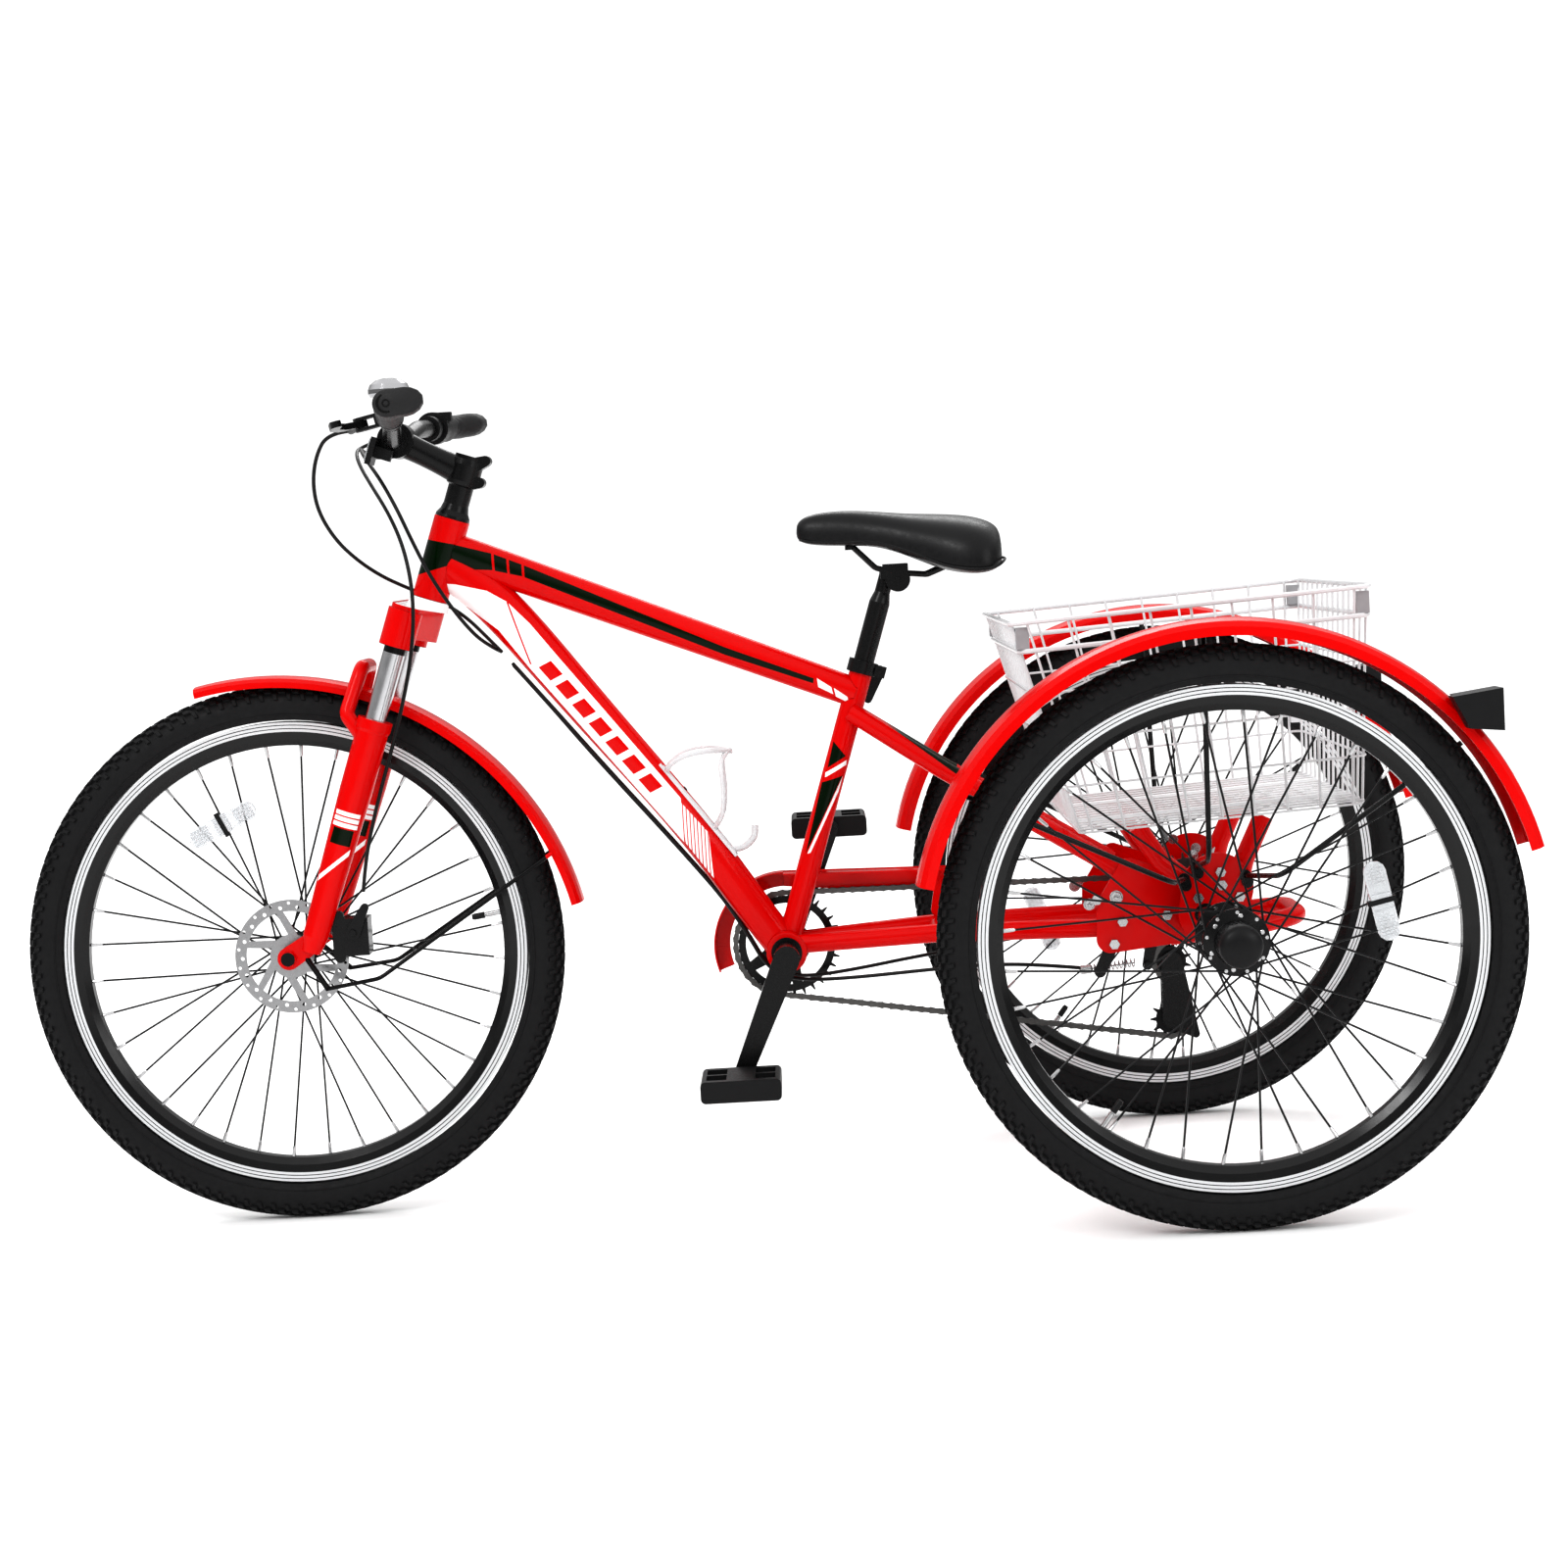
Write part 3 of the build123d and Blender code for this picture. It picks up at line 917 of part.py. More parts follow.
    base = bar_at(-BELL_Y)
    ring = rod(bar_at(-BELL_Y - 6), bar_at(-BELL_Y + 6), BAR_RADIUS + 3)
    foot = rod(base, Vector(base.X, -BELL_Y, base.Z + 26), 8)
    low = Vector(base.X, -BELL_Y, base.Z + 26)
    dome = lathe(low, (0, 0, 1), [(0, 0), (22, 0), (24.5, 4), (24.5, 9), (22, 15), (15, 20), (6, 22), (0, 22)])
    clamp = (ring + foot) - rod(bar_at(-BELL_Y - 20), bar_at(-BELL_Y + 20), BAR_RADIUS)
    notch = Pos(low.X + 23, low.Y, low.Z + 2.8) * Box(22, 24, 4.4)
    bell_pin = rod(low + Vector(17, 0, 0.6), low + Vector(17, 0, 5), 2)
    piece("bell", clamp, dome - notch, bell_pin)
    lever = Pos(low.X + 24, low.Y, low.Z + 2.9) * Box(18, 8, 2.6)
    lever = lever - rod(low + Vector(17, 0, -1), low + Vector(17, 0, 8), 2 + RUN)
    piece("bell_lever", lever)




def make_bottle_cage():
    run = (Vector(*bb(-65, 0, 96)) - Vector(*bb(-206, 0, 287))).normalized()
    up = run * -1
    out = Vector(-up.Z, 0, up.X) * -1
    base = bb(-103, 0, 178)
    frame = Plane(origin=base + out * 1.5, x_dir=out, z_dir=up)
    strip = Pos(2, 0, 14) * Box(3, 26, 150)
    ring = Pos(40, 0, 18) * (Cylinder(40, 26) - Cylinder(37, 30))
    ring = ring - Pos(84, 0, 18) * Box(40, 46, 40)
    shelf = Pos(28, 0, -60) * Box(55, 34, 3)
    lip = Pos(55, 0, -52) * Box(3, 34, 18)
    cage = strip + ring + shelf + lip
    bolts = [Pos(-1.5, 0, z) * Rot(0, 90, 0) * Cylinder(4, 4) for z in (-32, 32)]
    body = frame * (cage + bolts[0] + bolts[1])
    for part in NODES["down_tube"]:
        body = body - part
    piece("bottle_cage", max(body.solids(), key=lambda part: part.volume))


# ---------------------------------------------------------------- cables

def cable(points, share=0.45):
    """Cable through its points, with each arc as large as its two runs allow."""
    points = [Vector(*p) for p in points]
    radii = []
    for before, here, after in zip(points, points[1:], points[2:]):
        one, two = here - before, after - here
        turn = radians(one.get_angle(two))
        radii.append(share * min(one.length, two.length) / max(0.02, sin(turn / 2) / cos(turn / 2)))
    path = FilletPolyline(*points, radius=radii)
    solid = sweep(Plane(origin=path @ 0, z_dir=path % 0) * Circle(CABLE_RADIUS), path=path)
    print("cable", round(path.length), "tightest", round(min(radii), 1),
          "volume ratio", round(solid.volume / (path.length * pi * CABLE_RADIUS ** 2), 4))
    return solid


# Routes are hand-chosen points measured from the rear axle's place on the ground.
REAR_BRAKE_ROUTE = [(-1011, -132, 964), (-1030, -112, 938), (-1038, -98, 905), (-1035, -86, 872),
                    (-1019, -70, 838), (-997, -48, 812), (-974, -20, 792), (-952, 12, 778),
                    (-930, 36, 766), (-904, 44, 752), (-879, 36, 734), (-856, 16, 712), (-835, -4, 691)]
SHIFT_ROUTE = [(-992, 150, 940), (-1003, 110, 948), (-1002, 62, 952), (-990, 16, 938), (-966, -26, 908),
               (-946, -48, 872), (-930, -56, 834), (-914, -52, 796), (-896, -46, 762), (-876, -36, 730),
               (-856, -16, 704), (-838, 4, 692)]
FRONT_BRAKE_ROUTE = [(-1010, 124, 956), (-1012, 92, 948), (-1002, 50, 930), (-982, 6, 902), (-958, -38, 868),
                     (-940, -66, 830), (-930, -84, 786), (-928, -96, 742), (-934, -100, 694), (-946, -101, 644),
                     (-962, -101, 592), (-980, -100, 540), (-996, -97, 490), (-1008, -88, 446), (-1015, -72, 412)]
REAR_BRAKE_TAIL = [(-821, -9, 674), (-779, -9, 622), (-740, -9, 571), (-699, -9, 520), (-658, -9, 470),
                   (-617, -9, 419), (-577, -9, 367), (-550, -9, 320), (-534, -10, 288), (-512, -12, 270),
                   (-478, -16, 264), (-420, -28, 266), (-350, -44, 272), (-270, -60, 278), (-200, -70, 276),
                   (-140, -74, 268)]
SHIFT_TAIL = [(-824, 9, 676), (-781, 9, 623), (-740, 9, 571), (-699, 9, 520), (-658, 9, 470),
              (-617, 9, 419), (-577, 9, 367), (-550, 9, 320), (-534, 10, 288), (-512, 12, 270),
              (-478, 16, 264), (-420, 30, 268), (-350, 48, 276), (-270, 62, 284), (-190, 74, 294),
              (-120, 76, 299), (-70, 70, 298)]


def make_cables():
    forward = Vector(-0.978, 0, -0.208)
    across = Vector(-0.208, 0, 0.978)
    left = bar_at(-LEVER_Y) + forward * 57 + Vector(0, 46, 0)
    right = bar_at(LEVER_Y) + forward * 57 + Vector(0, -46, 0)
    a, b = bar_at(SHIFTER_Y[0]), bar_at(SHIFTER_Y[1])
    shift = a - (b - a).normalized() * 16 + forward * 38 + across * -24
    piece("control_cables", cable([left, *REAR_BRAKE_ROUTE]), cable([shift, *SHIFT_ROUTE]),
          cable([right, *FRONT_BRAKE_ROUTE]))
    tails = [cable(REAR_BRAKE_TAIL), cable(SHIFT_TAIL)]
    clips = []
    for x, z in ((-821, 677), (-727, 555), (-630, 435)):
        clip = rod((x, -15, z), (x, 15, z), 5) + Pos(x + 4, 0, z + 3) * Box(9, 20, 8)
        for body in tails + NODES["down_tube"]:
            clip = clip - body
        clips += clip.solids()
    piece("frame_cables", *tails, *clips)


make_wheels()
make_frame()
make_carrier()
make_basket()
make_fenders()
make_drive()
make_guard()
make_rear_brake()
saddle_pivot = make_seat()
make_fork()
make_cockpit()
make_bottle_cage()
make_cables()

os.makedirs("parts", exist_ok=True)
low = min(body.bounding_box().min.X for body in NODES["tyre_front"])
high = max(body.bounding_box().max.X for name in ("rear_fender_left", "tail_reflectors", "tyre_left")
           for body in NODES[name])
shift_x = -(low + high) / 2
print("nodes", len(NODES), "shift", round(shift_x, 3))
print("steering middle", steer(0, 0, 0) + Vector(shift_x, 0, 0), "saddle pivot", saddle_pivot + Vector(shift_x, 0, 0))
for name, solids in NODES.items():
    moved = [Pos(shift_x, 0, 0) * solid for solid in solids]
    export_step(Compound(children=moved) if len(moved) > 1 else moved[0], f"parts/{name}.step")
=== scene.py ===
"""Looks of an adult tricycle, laid out as a Blender add-on and built around its CAD frame."""

import json
import math

import bmesh
import bpy
from bpy.props import (
    BoolProperty,
    FloatProperty,
    FloatVectorProperty,
    IntProperty,
    PointerProperty,
)
from mathutils import Matrix, Vector


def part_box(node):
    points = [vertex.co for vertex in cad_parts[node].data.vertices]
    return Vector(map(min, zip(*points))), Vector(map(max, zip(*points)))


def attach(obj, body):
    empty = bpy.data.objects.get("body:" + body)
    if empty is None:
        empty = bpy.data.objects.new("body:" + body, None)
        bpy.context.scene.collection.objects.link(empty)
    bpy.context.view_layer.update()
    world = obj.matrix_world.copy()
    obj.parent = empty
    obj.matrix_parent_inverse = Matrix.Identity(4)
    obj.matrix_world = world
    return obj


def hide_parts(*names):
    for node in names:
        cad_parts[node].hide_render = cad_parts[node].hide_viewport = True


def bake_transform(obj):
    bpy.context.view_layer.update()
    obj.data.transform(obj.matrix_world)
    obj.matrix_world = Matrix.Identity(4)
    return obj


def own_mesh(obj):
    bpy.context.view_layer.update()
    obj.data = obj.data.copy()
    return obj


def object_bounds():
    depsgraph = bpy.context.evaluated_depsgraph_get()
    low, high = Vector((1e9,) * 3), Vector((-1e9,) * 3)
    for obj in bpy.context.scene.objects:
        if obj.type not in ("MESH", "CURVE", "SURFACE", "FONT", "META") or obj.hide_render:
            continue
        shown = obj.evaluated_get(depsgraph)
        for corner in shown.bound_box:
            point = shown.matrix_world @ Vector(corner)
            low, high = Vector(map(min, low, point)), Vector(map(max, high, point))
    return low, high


bl_info = {
    "name": "Adult Tricycle Looks",
    "version": (1, 0, 0),
    "blender": (4, 5, 0),
    "location": "3D View > Sidebar > Tricycle",
    "description": "Builds the visible pieces and finishes of an adult tricycle",
    "category": "Object",
}

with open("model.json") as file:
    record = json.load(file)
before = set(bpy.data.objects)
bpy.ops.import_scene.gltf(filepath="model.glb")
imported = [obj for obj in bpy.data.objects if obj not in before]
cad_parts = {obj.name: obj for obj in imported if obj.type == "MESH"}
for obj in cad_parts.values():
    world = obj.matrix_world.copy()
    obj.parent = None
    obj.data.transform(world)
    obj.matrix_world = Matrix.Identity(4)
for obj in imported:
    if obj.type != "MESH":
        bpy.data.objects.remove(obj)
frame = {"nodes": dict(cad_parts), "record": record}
CAD_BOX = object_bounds()


# ---------------------------------------------------------------- places

def middle(node):
    """Middle of a CAD node's box."""
    low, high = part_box(node)
    return (Vector(low) + Vector(high)) / 2


MM = 0.001
REAR_X = middle("tyre_right").x
FRONT_WHEEL = middle("tyre_front")
WHEELS = {
    "front": (FRONT_WHEEL, "front_wheel", 0),
    "left": (middle("tyre_left"), "left_wheel", -1),
    "right": (middle("tyre_right"), "right_wheel", 1),
}


def place(x, y, z):
    """A point given in millimetres from the rear axle's place on the ground."""
    return Vector((REAR_X + x * MM, y * MM, z * MM))


HEAD = place(-902.63, 0, 808.17)
FENDER_CENTRE = place(-1132, 0, 288)
STEER_AXIS = Vector((0.33051, 0, 0.94380))
AHEAD = Vector((-0.94380, 0, 0.33051))
SIDE = Vector((0, 1, 0))
UP = Vector((0, 0, 1))


def steer(ahead, y, along):
    """A point given in millimetres ahead of the steering axis, across it and up along it."""
    return HEAD + AHEAD * (ahead * MM) + SIDE * (y * MM) + STEER_AXIS * (along * MM)


BAR_LOW = place(-935.61, 120, 974.20)
BAR_HIGH = place(-911.05, 340, 984.14)


def bar_at(y):
    """Middle of the handlebar's outer stretch at y millimetres, on either side."""
    share = (abs(y) - 120) / 220
    point = BAR_LOW.lerp(BAR_HIGH, share)
    point.y = y * MM
    return point


# ---------------------------------------------------------------- sizes and colours

class TricycleSizes(bpy.types.PropertyGroup):
    """Sizes that can be changed without moving a CAD part."""

    tread_blocks: IntProperty(name="Tread blocks", description="Blocks round one tyre", default=118, min=40)
    tread_depth: FloatProperty(
        name="Tread depth", description="How far a block stands out", default=0.0036, unit="LENGTH")
    tyre_section: FloatProperty(
        name="Tyre section", description="Radius of the casing", default=0.0234, unit="LENGTH")
    spoke_radius: FloatProperty(
        name="Spoke radius", description="Radius of one spoke", default=0.00135, unit="LENGTH")
    wire_radius: FloatProperty(
        name="Basket wire radius", description="Radius of the thin basket wires", default=0.0016,
        unit="LENGTH")
    cable_radius: FloatProperty(
        name="Cable radius", description="Radius of a cable's outer sleeve", default=0.0023, unit="LENGTH")
    round_steps: IntProperty(
        name="Round steps", description="Sides of a large turned piece", default=96, min=24)
    floor_size: FloatProperty(name="Floor size", description="Side of the floor", default=40.0, unit="LENGTH")


def colour_prop(name, value):
    """A colour that a user can change."""
    return FloatVectorProperty(
        name=name, description=name + " colour", default=value, subtype="COLOR", size=3, min=0, max=1)


class TricycleColours(bpy.types.PropertyGroup):
    """Colours of the paints, plastics and rubbers."""

    paint: colour_prop("Frame paint", (0.60, 0.0, 0.0))
    stripe: colour_prop("Dark stripe", (0.0, 0.006, 0.0))
    decal: colour_prop("White panel", (0.92, 0.92, 0.92))
    rubber: colour_prop("Tyre rubber", (0.008, 0.008, 0.0085))
    coating: colour_prop("Black coating", (0.004, 0.004, 0.0042))
    basket: colour_prop("Basket coating", (0.66, 0.66, 0.67))
    show_panel_lines: BoolProperty(
        name="Panel lines", description="Draw the thin lines of the paint scheme", default=True)


def sizes():
    return bpy.context.scene.tricycle_sizes


def colours():
    return bpy.context.scene.tricycle_colours


# ---------------------------------------------------------------- paint scheme

# Convex outlines in the side view, as (x, z) in millimetres from the rear axle's place on the ground.
HEAD_BAND = [(-945, 788), (-868, 806), (-868, 822), (-945, 841)]
TOP_TUBE_STRIPE = [
    [(-895, 829), (-838, 812), (-840, 792), (-895, 797)],
    [(-838, 812), (-801, 796), (-802, 782), (-840, 792)],
    [(-801, 796), (-559, 681), (-560, 672), (-802, 782)],
    [(-559, 681), (-453, 637), (-454, 631), (-560, 672)],
]
TOP_TUBE_SLASHES = [
    [(x, 815 - drop), (x + 3, 815 - drop), (x + 4, 778 - drop), (x + 1, 778 - drop)]
    for x, drop in ((-839, 0), (-821, 6), (-803, 12))
]
TOP_TUBE_TILES = [
    [(-449, 637), (-432, 625), (-430, 616), (-448, 626)],
    [(-429, 624), (-413, 612), (-411, 604), (-427, 613)],
]
DOWN_TUBE_PANEL = [
    [(-927, 767), (-900, 761), (-885, 777), (-926, 782)],
    [(-900, 761), (-873, 748), (-847, 767), (-885, 777)],
    [(-873, 748), (-836, 718), (-823, 752), (-847, 767)],
    [(-836, 718), (-801, 669), (-766, 683), (-797, 724), (-823, 752)],
    [(-801, 669), (-623, 442), (-625, 499), (-766, 683)],
    [(-626, 495), (-593, 454), (-590, 397), (-622, 442)],
]
SEAT_TUBE_WEDGES = [
    [(-433, 558), (-419, 539), (-442, 526)],
    [(-450, 508), (-424, 515), (-475, 421)],
]
SEAT_TUBE_SLASHES = [
    [(-418, 534), (-419, 528), (-446, 514), (-445, 520)],
    [(-424, 514), (-430, 496), (-469, 422), (-473, 421)],
]
STAY_STRIPE = [(-409, 610), (-405, 609), (-279, 518), (-283, 510)]


def panel_bars():
    """A row of plain slanted bars down the middle of the white panel."""
    start, end = Vector((-783, 0, 675)), Vector((-650, 0, 506))
    run = (end - start).normalized()
    across = Vector((-run.z, 0, run.x)) * 8.5
    count = 7
    bars = []
    for i in range(count):
        a = start.lerp(end, i / count)
        b = a + run * 22
        lean = run * 4
        bars.append([(p.x, p.z) for p in (a - across, b - across, b + across + lean, a + across + lean)])
    return bars


def panel_hatch():
    """Thin lines across the lower end of the white panel, and the line at its upper end."""
    lines = [[(-824, 752), (-822, 752), (-798, 674), (-800, 674)]]
    count = 8
    for i in range(count):
        x = -624 + 34 * i / count
        top, low = 493 - 40 * i / count, 440 - 44 * i / count
        lines.append([(x, top), (x + 1.3, top), (x + 1.3, low), (x, low)])
    return lines


DOWN_TUBE_BARS = panel_bars()
DOWN_TUBE_LINES = panel_hatch()


# ---------------------------------------------------------------- mesh building

class Shape:
    """Vertices and faces of one piece while it is built; each face keeps the number of its finish."""

    def __init__(self):
        self.verts = []
        self.faces = []
        self.finish = []

    def add(self, verts, faces, finish=0):
        start = len(self.verts)
        self.verts += [tuple(v) for v in verts]
        self.faces += [[start + i for i in face] for face in faces]
        self.finish += [finish] * len(faces)

    def loft(self, rings, finish=0, loop=False, caps=True):
        """Joins rings of equal count; a loop closes the last ring on the first."""
        count = len(rings[0])
        verts = [v for ring in rings for v in ring]
        faces = []
        spans = len(rings) if loop else len(rings) - 1
        for i in range(spans):
            a, b = i * count, (i + 1) % len(rings) * count
            faces += [[a + j, a + (j + 1) % count, b + (j + 1) % count, b + j] for j in range(count)]
        if caps and not loop:
            faces.append(list(range(count))[::-1])
            last = (len(rings) - 1) * count
            faces.append([last + j for j in range(count)])
        self.add(verts, faces, finish)

    def tube(self, points, radius, sides=10, finish=0, loop=False):
        """A round tube along points; radius is one number or one for each point."""
        points = [Vector(p) for p in points]
        count = len(points)
        radii = [radius] * count if isinstance(radius, (int, float)) else radius
        normal = None
        rings = []
        for i, point in enumerate(points):
            before = points[i - 1] if loop or i else points[0]
            after = points[(i + 1) % count] if loop or i < count - 1 else points[-1]
            along = (after - before).normalized()
            if normal is None:
                normal = along.orthogonal().normalized()
            normal = (normal - along * normal.dot(along)).normalized()
            across = along.cross(normal)
            rings.append([
                point + (normal * math.cos(a) + across * math.sin(a)) * radii[i]
                for a in (2 * math.pi * k / sides for k in range(sides))])
        self.loft(rings, finish, loop)

    def turned(self, base, axis, outline, steps=32, finish=0, loop=False):
        """Turns an outline of (radius, height) about axis; loop closes a ring-shaped outline."""
        axis = Vector(axis).normalized()
        u = axis.orthogonal().normalized()
        v = axis.cross(u)
        rings = []
        for radius, height in outline:
            rings.append([
                base + axis * height + (u * math.cos(a) + v * math.sin(a)) * max(radius, 1e-5)
                for a in (2 * math.pi * k / steps for k in range(steps))])
        self.loft(rings, finish, loop)

    def prism(self, outline, origin, u, v, depth, finish=0):
        """A flat outline of (u, v) points pushed along depth, a vector."""
        low = [origin + u * a + v * b for a, b in outline]
        count = len(low)
        high = [p + depth for p in low]
        faces = [list(range(count))[::-1], [count + i for i in range(count)]]
        faces += [[i, (i + 1) % count, count + (i + 1) % count, count + i] for i in range(count)]
        self.add(low + high, faces, finish)

    def block(self, centre, half, axes=None, finish=0):
        """A box given by its middle and half sizes along three axes."""
        u, v, w = axes or (Vector((1, 0, 0)), SIDE, UP)
        origin = centre - w * half[2]
        outline = [(-half[0], -half[1]), (half[0], -half[1]), (half[0], half[1]), (-half[0], half[1])]
        self.prism(outline, origin, u, v, w * (2 * half[2]), finish)

    def hexagon(self, centre, axis, across, height, finish=0):
        """A hexagon bolt head, chamfered at its top, standing on centre along axis."""
        radius = across / math.sqrt(3)
        self.turned(centre, axis, [(radius, 0), (radius, height * 0.8), (radius * 0.86, height)], 6, finish)
        self.turned(centre, axis, [(radius * 0.5, height), (radius * 0.5, height * 1.35),
                                   (radius * 0.36, height * 1.5)], 12, finish)

    def mesh(self, name, finishes, sharp=35):
        mesh = bpy.data.meshes.new(name)
        mesh.from_pydata(self.verts, [], self.faces)
        for finish in finishes:
            mesh.materials.append(finish)
        mesh.polygons.foreach_set("material_index", self.finish)
        mesh.polygons.foreach_set("use_smooth", [True] * len(self.faces))
        made = bmesh.new()
        made.from_mesh(mesh)
        bmesh.ops.recalc_face_normals(made, faces=made.faces)
        made.to_mesh(mesh)
        made.free()
        mesh.set_sharp_from_angle(angle=math.radians(sharp))
        return mesh


def put(name, mesh, body=None, replaces=()):
    """Makes an object of a mesh or curve, ties it to its CAD body and hides the CAD nodes it replaces."""
    obj = bpy.data.objects.new(name, mesh)
    bpy.context.scene.collection.objects.link(obj)
    if body:
        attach(obj, body)
    if replaces:
        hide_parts(*replaces)
    return obj


# ---------------------------------------------------------------- finishes

FINISHES = {}


def shader(name):
    """A new node material with its node tree, shader and object coordinates."""
    material = bpy.data.materials.new(name)
    material.use_nodes = True
    tree = material.node_tree
    bsdf = tree.nodes["Principled BSDF"]
    coords = tree.nodes.new("ShaderNodeTexCoord").outputs["Object"]
    FINISHES[name] = material
    return material, tree, bsdf, coords


def noise(tree, coords, scale, detail=3.0):
    node = tree.nodes.new("ShaderNodeTexNoise")
    node.inputs["Scale"].default_value = scale
    node.inputs["Detail"].default_value = detail
    tree.links.new(coords, node.inputs["Vector"])
    return node.outputs["Fac"]


def math_node(tree, operation, first, second=0.0, third=0.0):
    node = tree.nodes.new("ShaderNodeMath")
    node.operation = operation
    for socket, value in zip(node.inputs, (first, second, third)):
        if isinstance(value, (int, float)):
            socket.default_value = value
        else:
            tree.links.new(value, socket)
    return node.outputs[0]


def mixed(tree, factor, first, second):
    """A colour that goes from first to second as factor goes from 0 to 1."""
    node = tree.nodes.new("ShaderNodeMix")
    node.data_type = "RGBA"
    tree.links.new(factor, node.inputs["Factor"])
    for key, value in (("A", first), ("B", second)):
        socket = [s for s in node.inputs if s.name == key and s.type == "RGBA"][0]
        if isinstance(value, tuple):
            socket.default_value = (*value, 1.0)
        else:
            tree.links.new(value, socket)
    return [s for s in node.outputs if s.type == "RGBA"][0]


def spread(tree, factor, low, high):
    """Maps a 0 to 1 pattern to a range."""
    node = tree.nodes.new("ShaderNodeMapRange")
    tree.links.new(factor, node.inputs["Value"])
    node.inputs["From Min"].default_value = 0.3
    node.inputs["From Max"].default_value = 0.7
    node.inputs["To Min"].default_value = low
    node.inputs["To Max"].default_value = high
    return node.outputs["Result"]


def shaded(colour, share):
    return tuple(min(1.0, c * share) for c in colour)


def basic_finish(name, colour, rough, vary=0.1, scale=30.0, grain=0.0, grain_scale=900.0,
                 metal=0.0, coat=0.0, edge=0.0, specular=0.5):
    """Colour and gloss that vary softly, a fine grain, and rounded edges where edge is given."""
    material, tree, bsdf, coords = shader(name)
    pattern = noise(tree, coords, scale)
    colour = tuple(colour)
    tone = mixed(tree, pattern, shaded(colour, 1 - vary), shaded(colour, 1 + vary))
    tree.links.new(tone, bsdf.inputs["Base Color"])
    tree.links.new(spread(tree, noise(tree, coords, scale * 4), rough * 0.85, rough * 1.2),
                   bsdf.inputs["Roughness"])
    bsdf.inputs["Metallic"].default_value = metal
    bsdf.inputs["Coat Weight"].default_value = coat
    bsdf.inputs["Coat Roughness"].default_value = 0.06
    bsdf.inputs["Specular IOR Level"].default_value = specular
    normal = None
    if edge:
        bevel = tree.nodes.new("ShaderNodeBevel")
        bevel.samples = 4
        bevel.inputs["Radius"].default_value = edge
        normal = bevel.outputs["Normal"]
    if grain:
        bump = tree.nodes.new("ShaderNodeBump")
        bump.inputs["Strength"].default_value = 0.5
        bump.inputs["Distance"].default_value = grain
        tree.links.new(noise(tree, coords, grain_scale, 2.0), bump.inputs["Height"])
        if normal:
            tree.links.new(normal, bump.inputs["Normal"])
        normal = bump.outputs["Normal"]
    if normal:
        tree.links.new(normal, bsdf.inputs["Normal"])
    return material


def polygon_mask(tree, coords, polygons):
    """1 where the side view of a point is inside one of the convex polygons of (x, z) points."""
    total = None
    for corners in polygons:
        area = sum(a[0] * b[1] - b[0] * a[1] for a, b in zip(corners, corners[1:] + corners[:1]))
        if area < 0:
            corners = corners[::-1]
        inside = None
        for a, b in zip(corners, corners[1:] + corners[:1]):
            inward = Vector((-(b[1] - a[1]), 0, b[0] - a[0])).normalized()
            dot = tree.nodes.new("ShaderNodeVectorMath")
            dot.operation = "DOT_PRODUCT"
            tree.links.new(coords, dot.inputs[0])
            dot.inputs[1].default_value = inward
            start = inward.dot(place(a[0], 0, a[1]))
            here = math_node(tree, "GREATER_THAN", dot.outputs["Value"], start)
            inside = here if inside is None else math_node(tree, "MULTIPLY", inside, here)
        total = inside if total is None else math_node(tree, "MAXIMUM", total, inside)
    return total


def paint_finish(name, edge=0.0012):
    """The glossy frame paint, with the faint ripple of a sprayed coat."""
    return basic_finish(name, colours().paint, 0.2, 0.04, 18.0, 0.00004, 500.0,
                        coat=0.08, edge=edge, specular=0.08)


def colour_nodes(material):
    """The node tree of a finish, its shader, its object coordinates and its colour so far."""
    tree = material.node_tree
    bsdf = tree.nodes["Principled BSDF"]
    coords = tree.nodes["Texture Coordinate"].outputs["Object"]
    return tree, bsdf, coords, bsdf.inputs["Base Color"].links[0].from_socket


def decal_finish(name, layers):
    """The frame paint with layers of (colour, convex polygons) over it, from the lowest up."""
    material = paint_finish(name)
    tree, bsdf, coords, tone = colour_nodes(material)
    for colour, polygons in layers:
        tone = mixed(tree, polygon_mask(tree, coords, polygons), tone, tuple(colour))
    tree.links.new(tone, bsdf.inputs["Base Color"])
    return material


def ring_mask(tree, coords, centre, bands):
    """1 where the distance from a wheel's axle lies in one of the bands of (middle, half width)."""
    flat = tree.nodes.new("ShaderNodeVectorMath")
    flat.operation = "MULTIPLY"
    tree.links.new(coords, flat.inputs[0])
    flat.inputs[1].default_value = (1, 0, 1)
    far = tree.nodes.new("ShaderNodeVectorMath")
    far.operation = "DISTANCE"
    tree.links.new(flat.outputs[0], far.inputs[0])
    far.inputs[1].default_value = (centre.x, 0, centre.z)
    total = None
    for radius, half in bands:
        band = math_node(tree, "COMPARE", far.outputs["Value"], radius, half)
        total = band if total is None else math_node(tree, "ADD", total, band)
    return total


RIM_LINES = (0.2769, 0.2812, 0.2855)
RIM_LINE_HALF = 0.0016
MACHINED = (0.62, 0.63, 0.64)


def rim_finish(name, centre):
    """Gloss black with three bright machined lines beside the tyre."""
    material = basic_finish(name, colours().coating, 0.2, 0.1, 20.0, edge=0.0008, specular=0.3)
    tree, bsdf, coords, tone = colour_nodes(material)
    mask = ring_mask(tree, coords, centre, [(radius, RIM_LINE_HALF) for radius in RIM_LINES])
    tree.links.new(mixed(tree, mask, tone, MACHINED), bsdf.inputs["Base Color"])


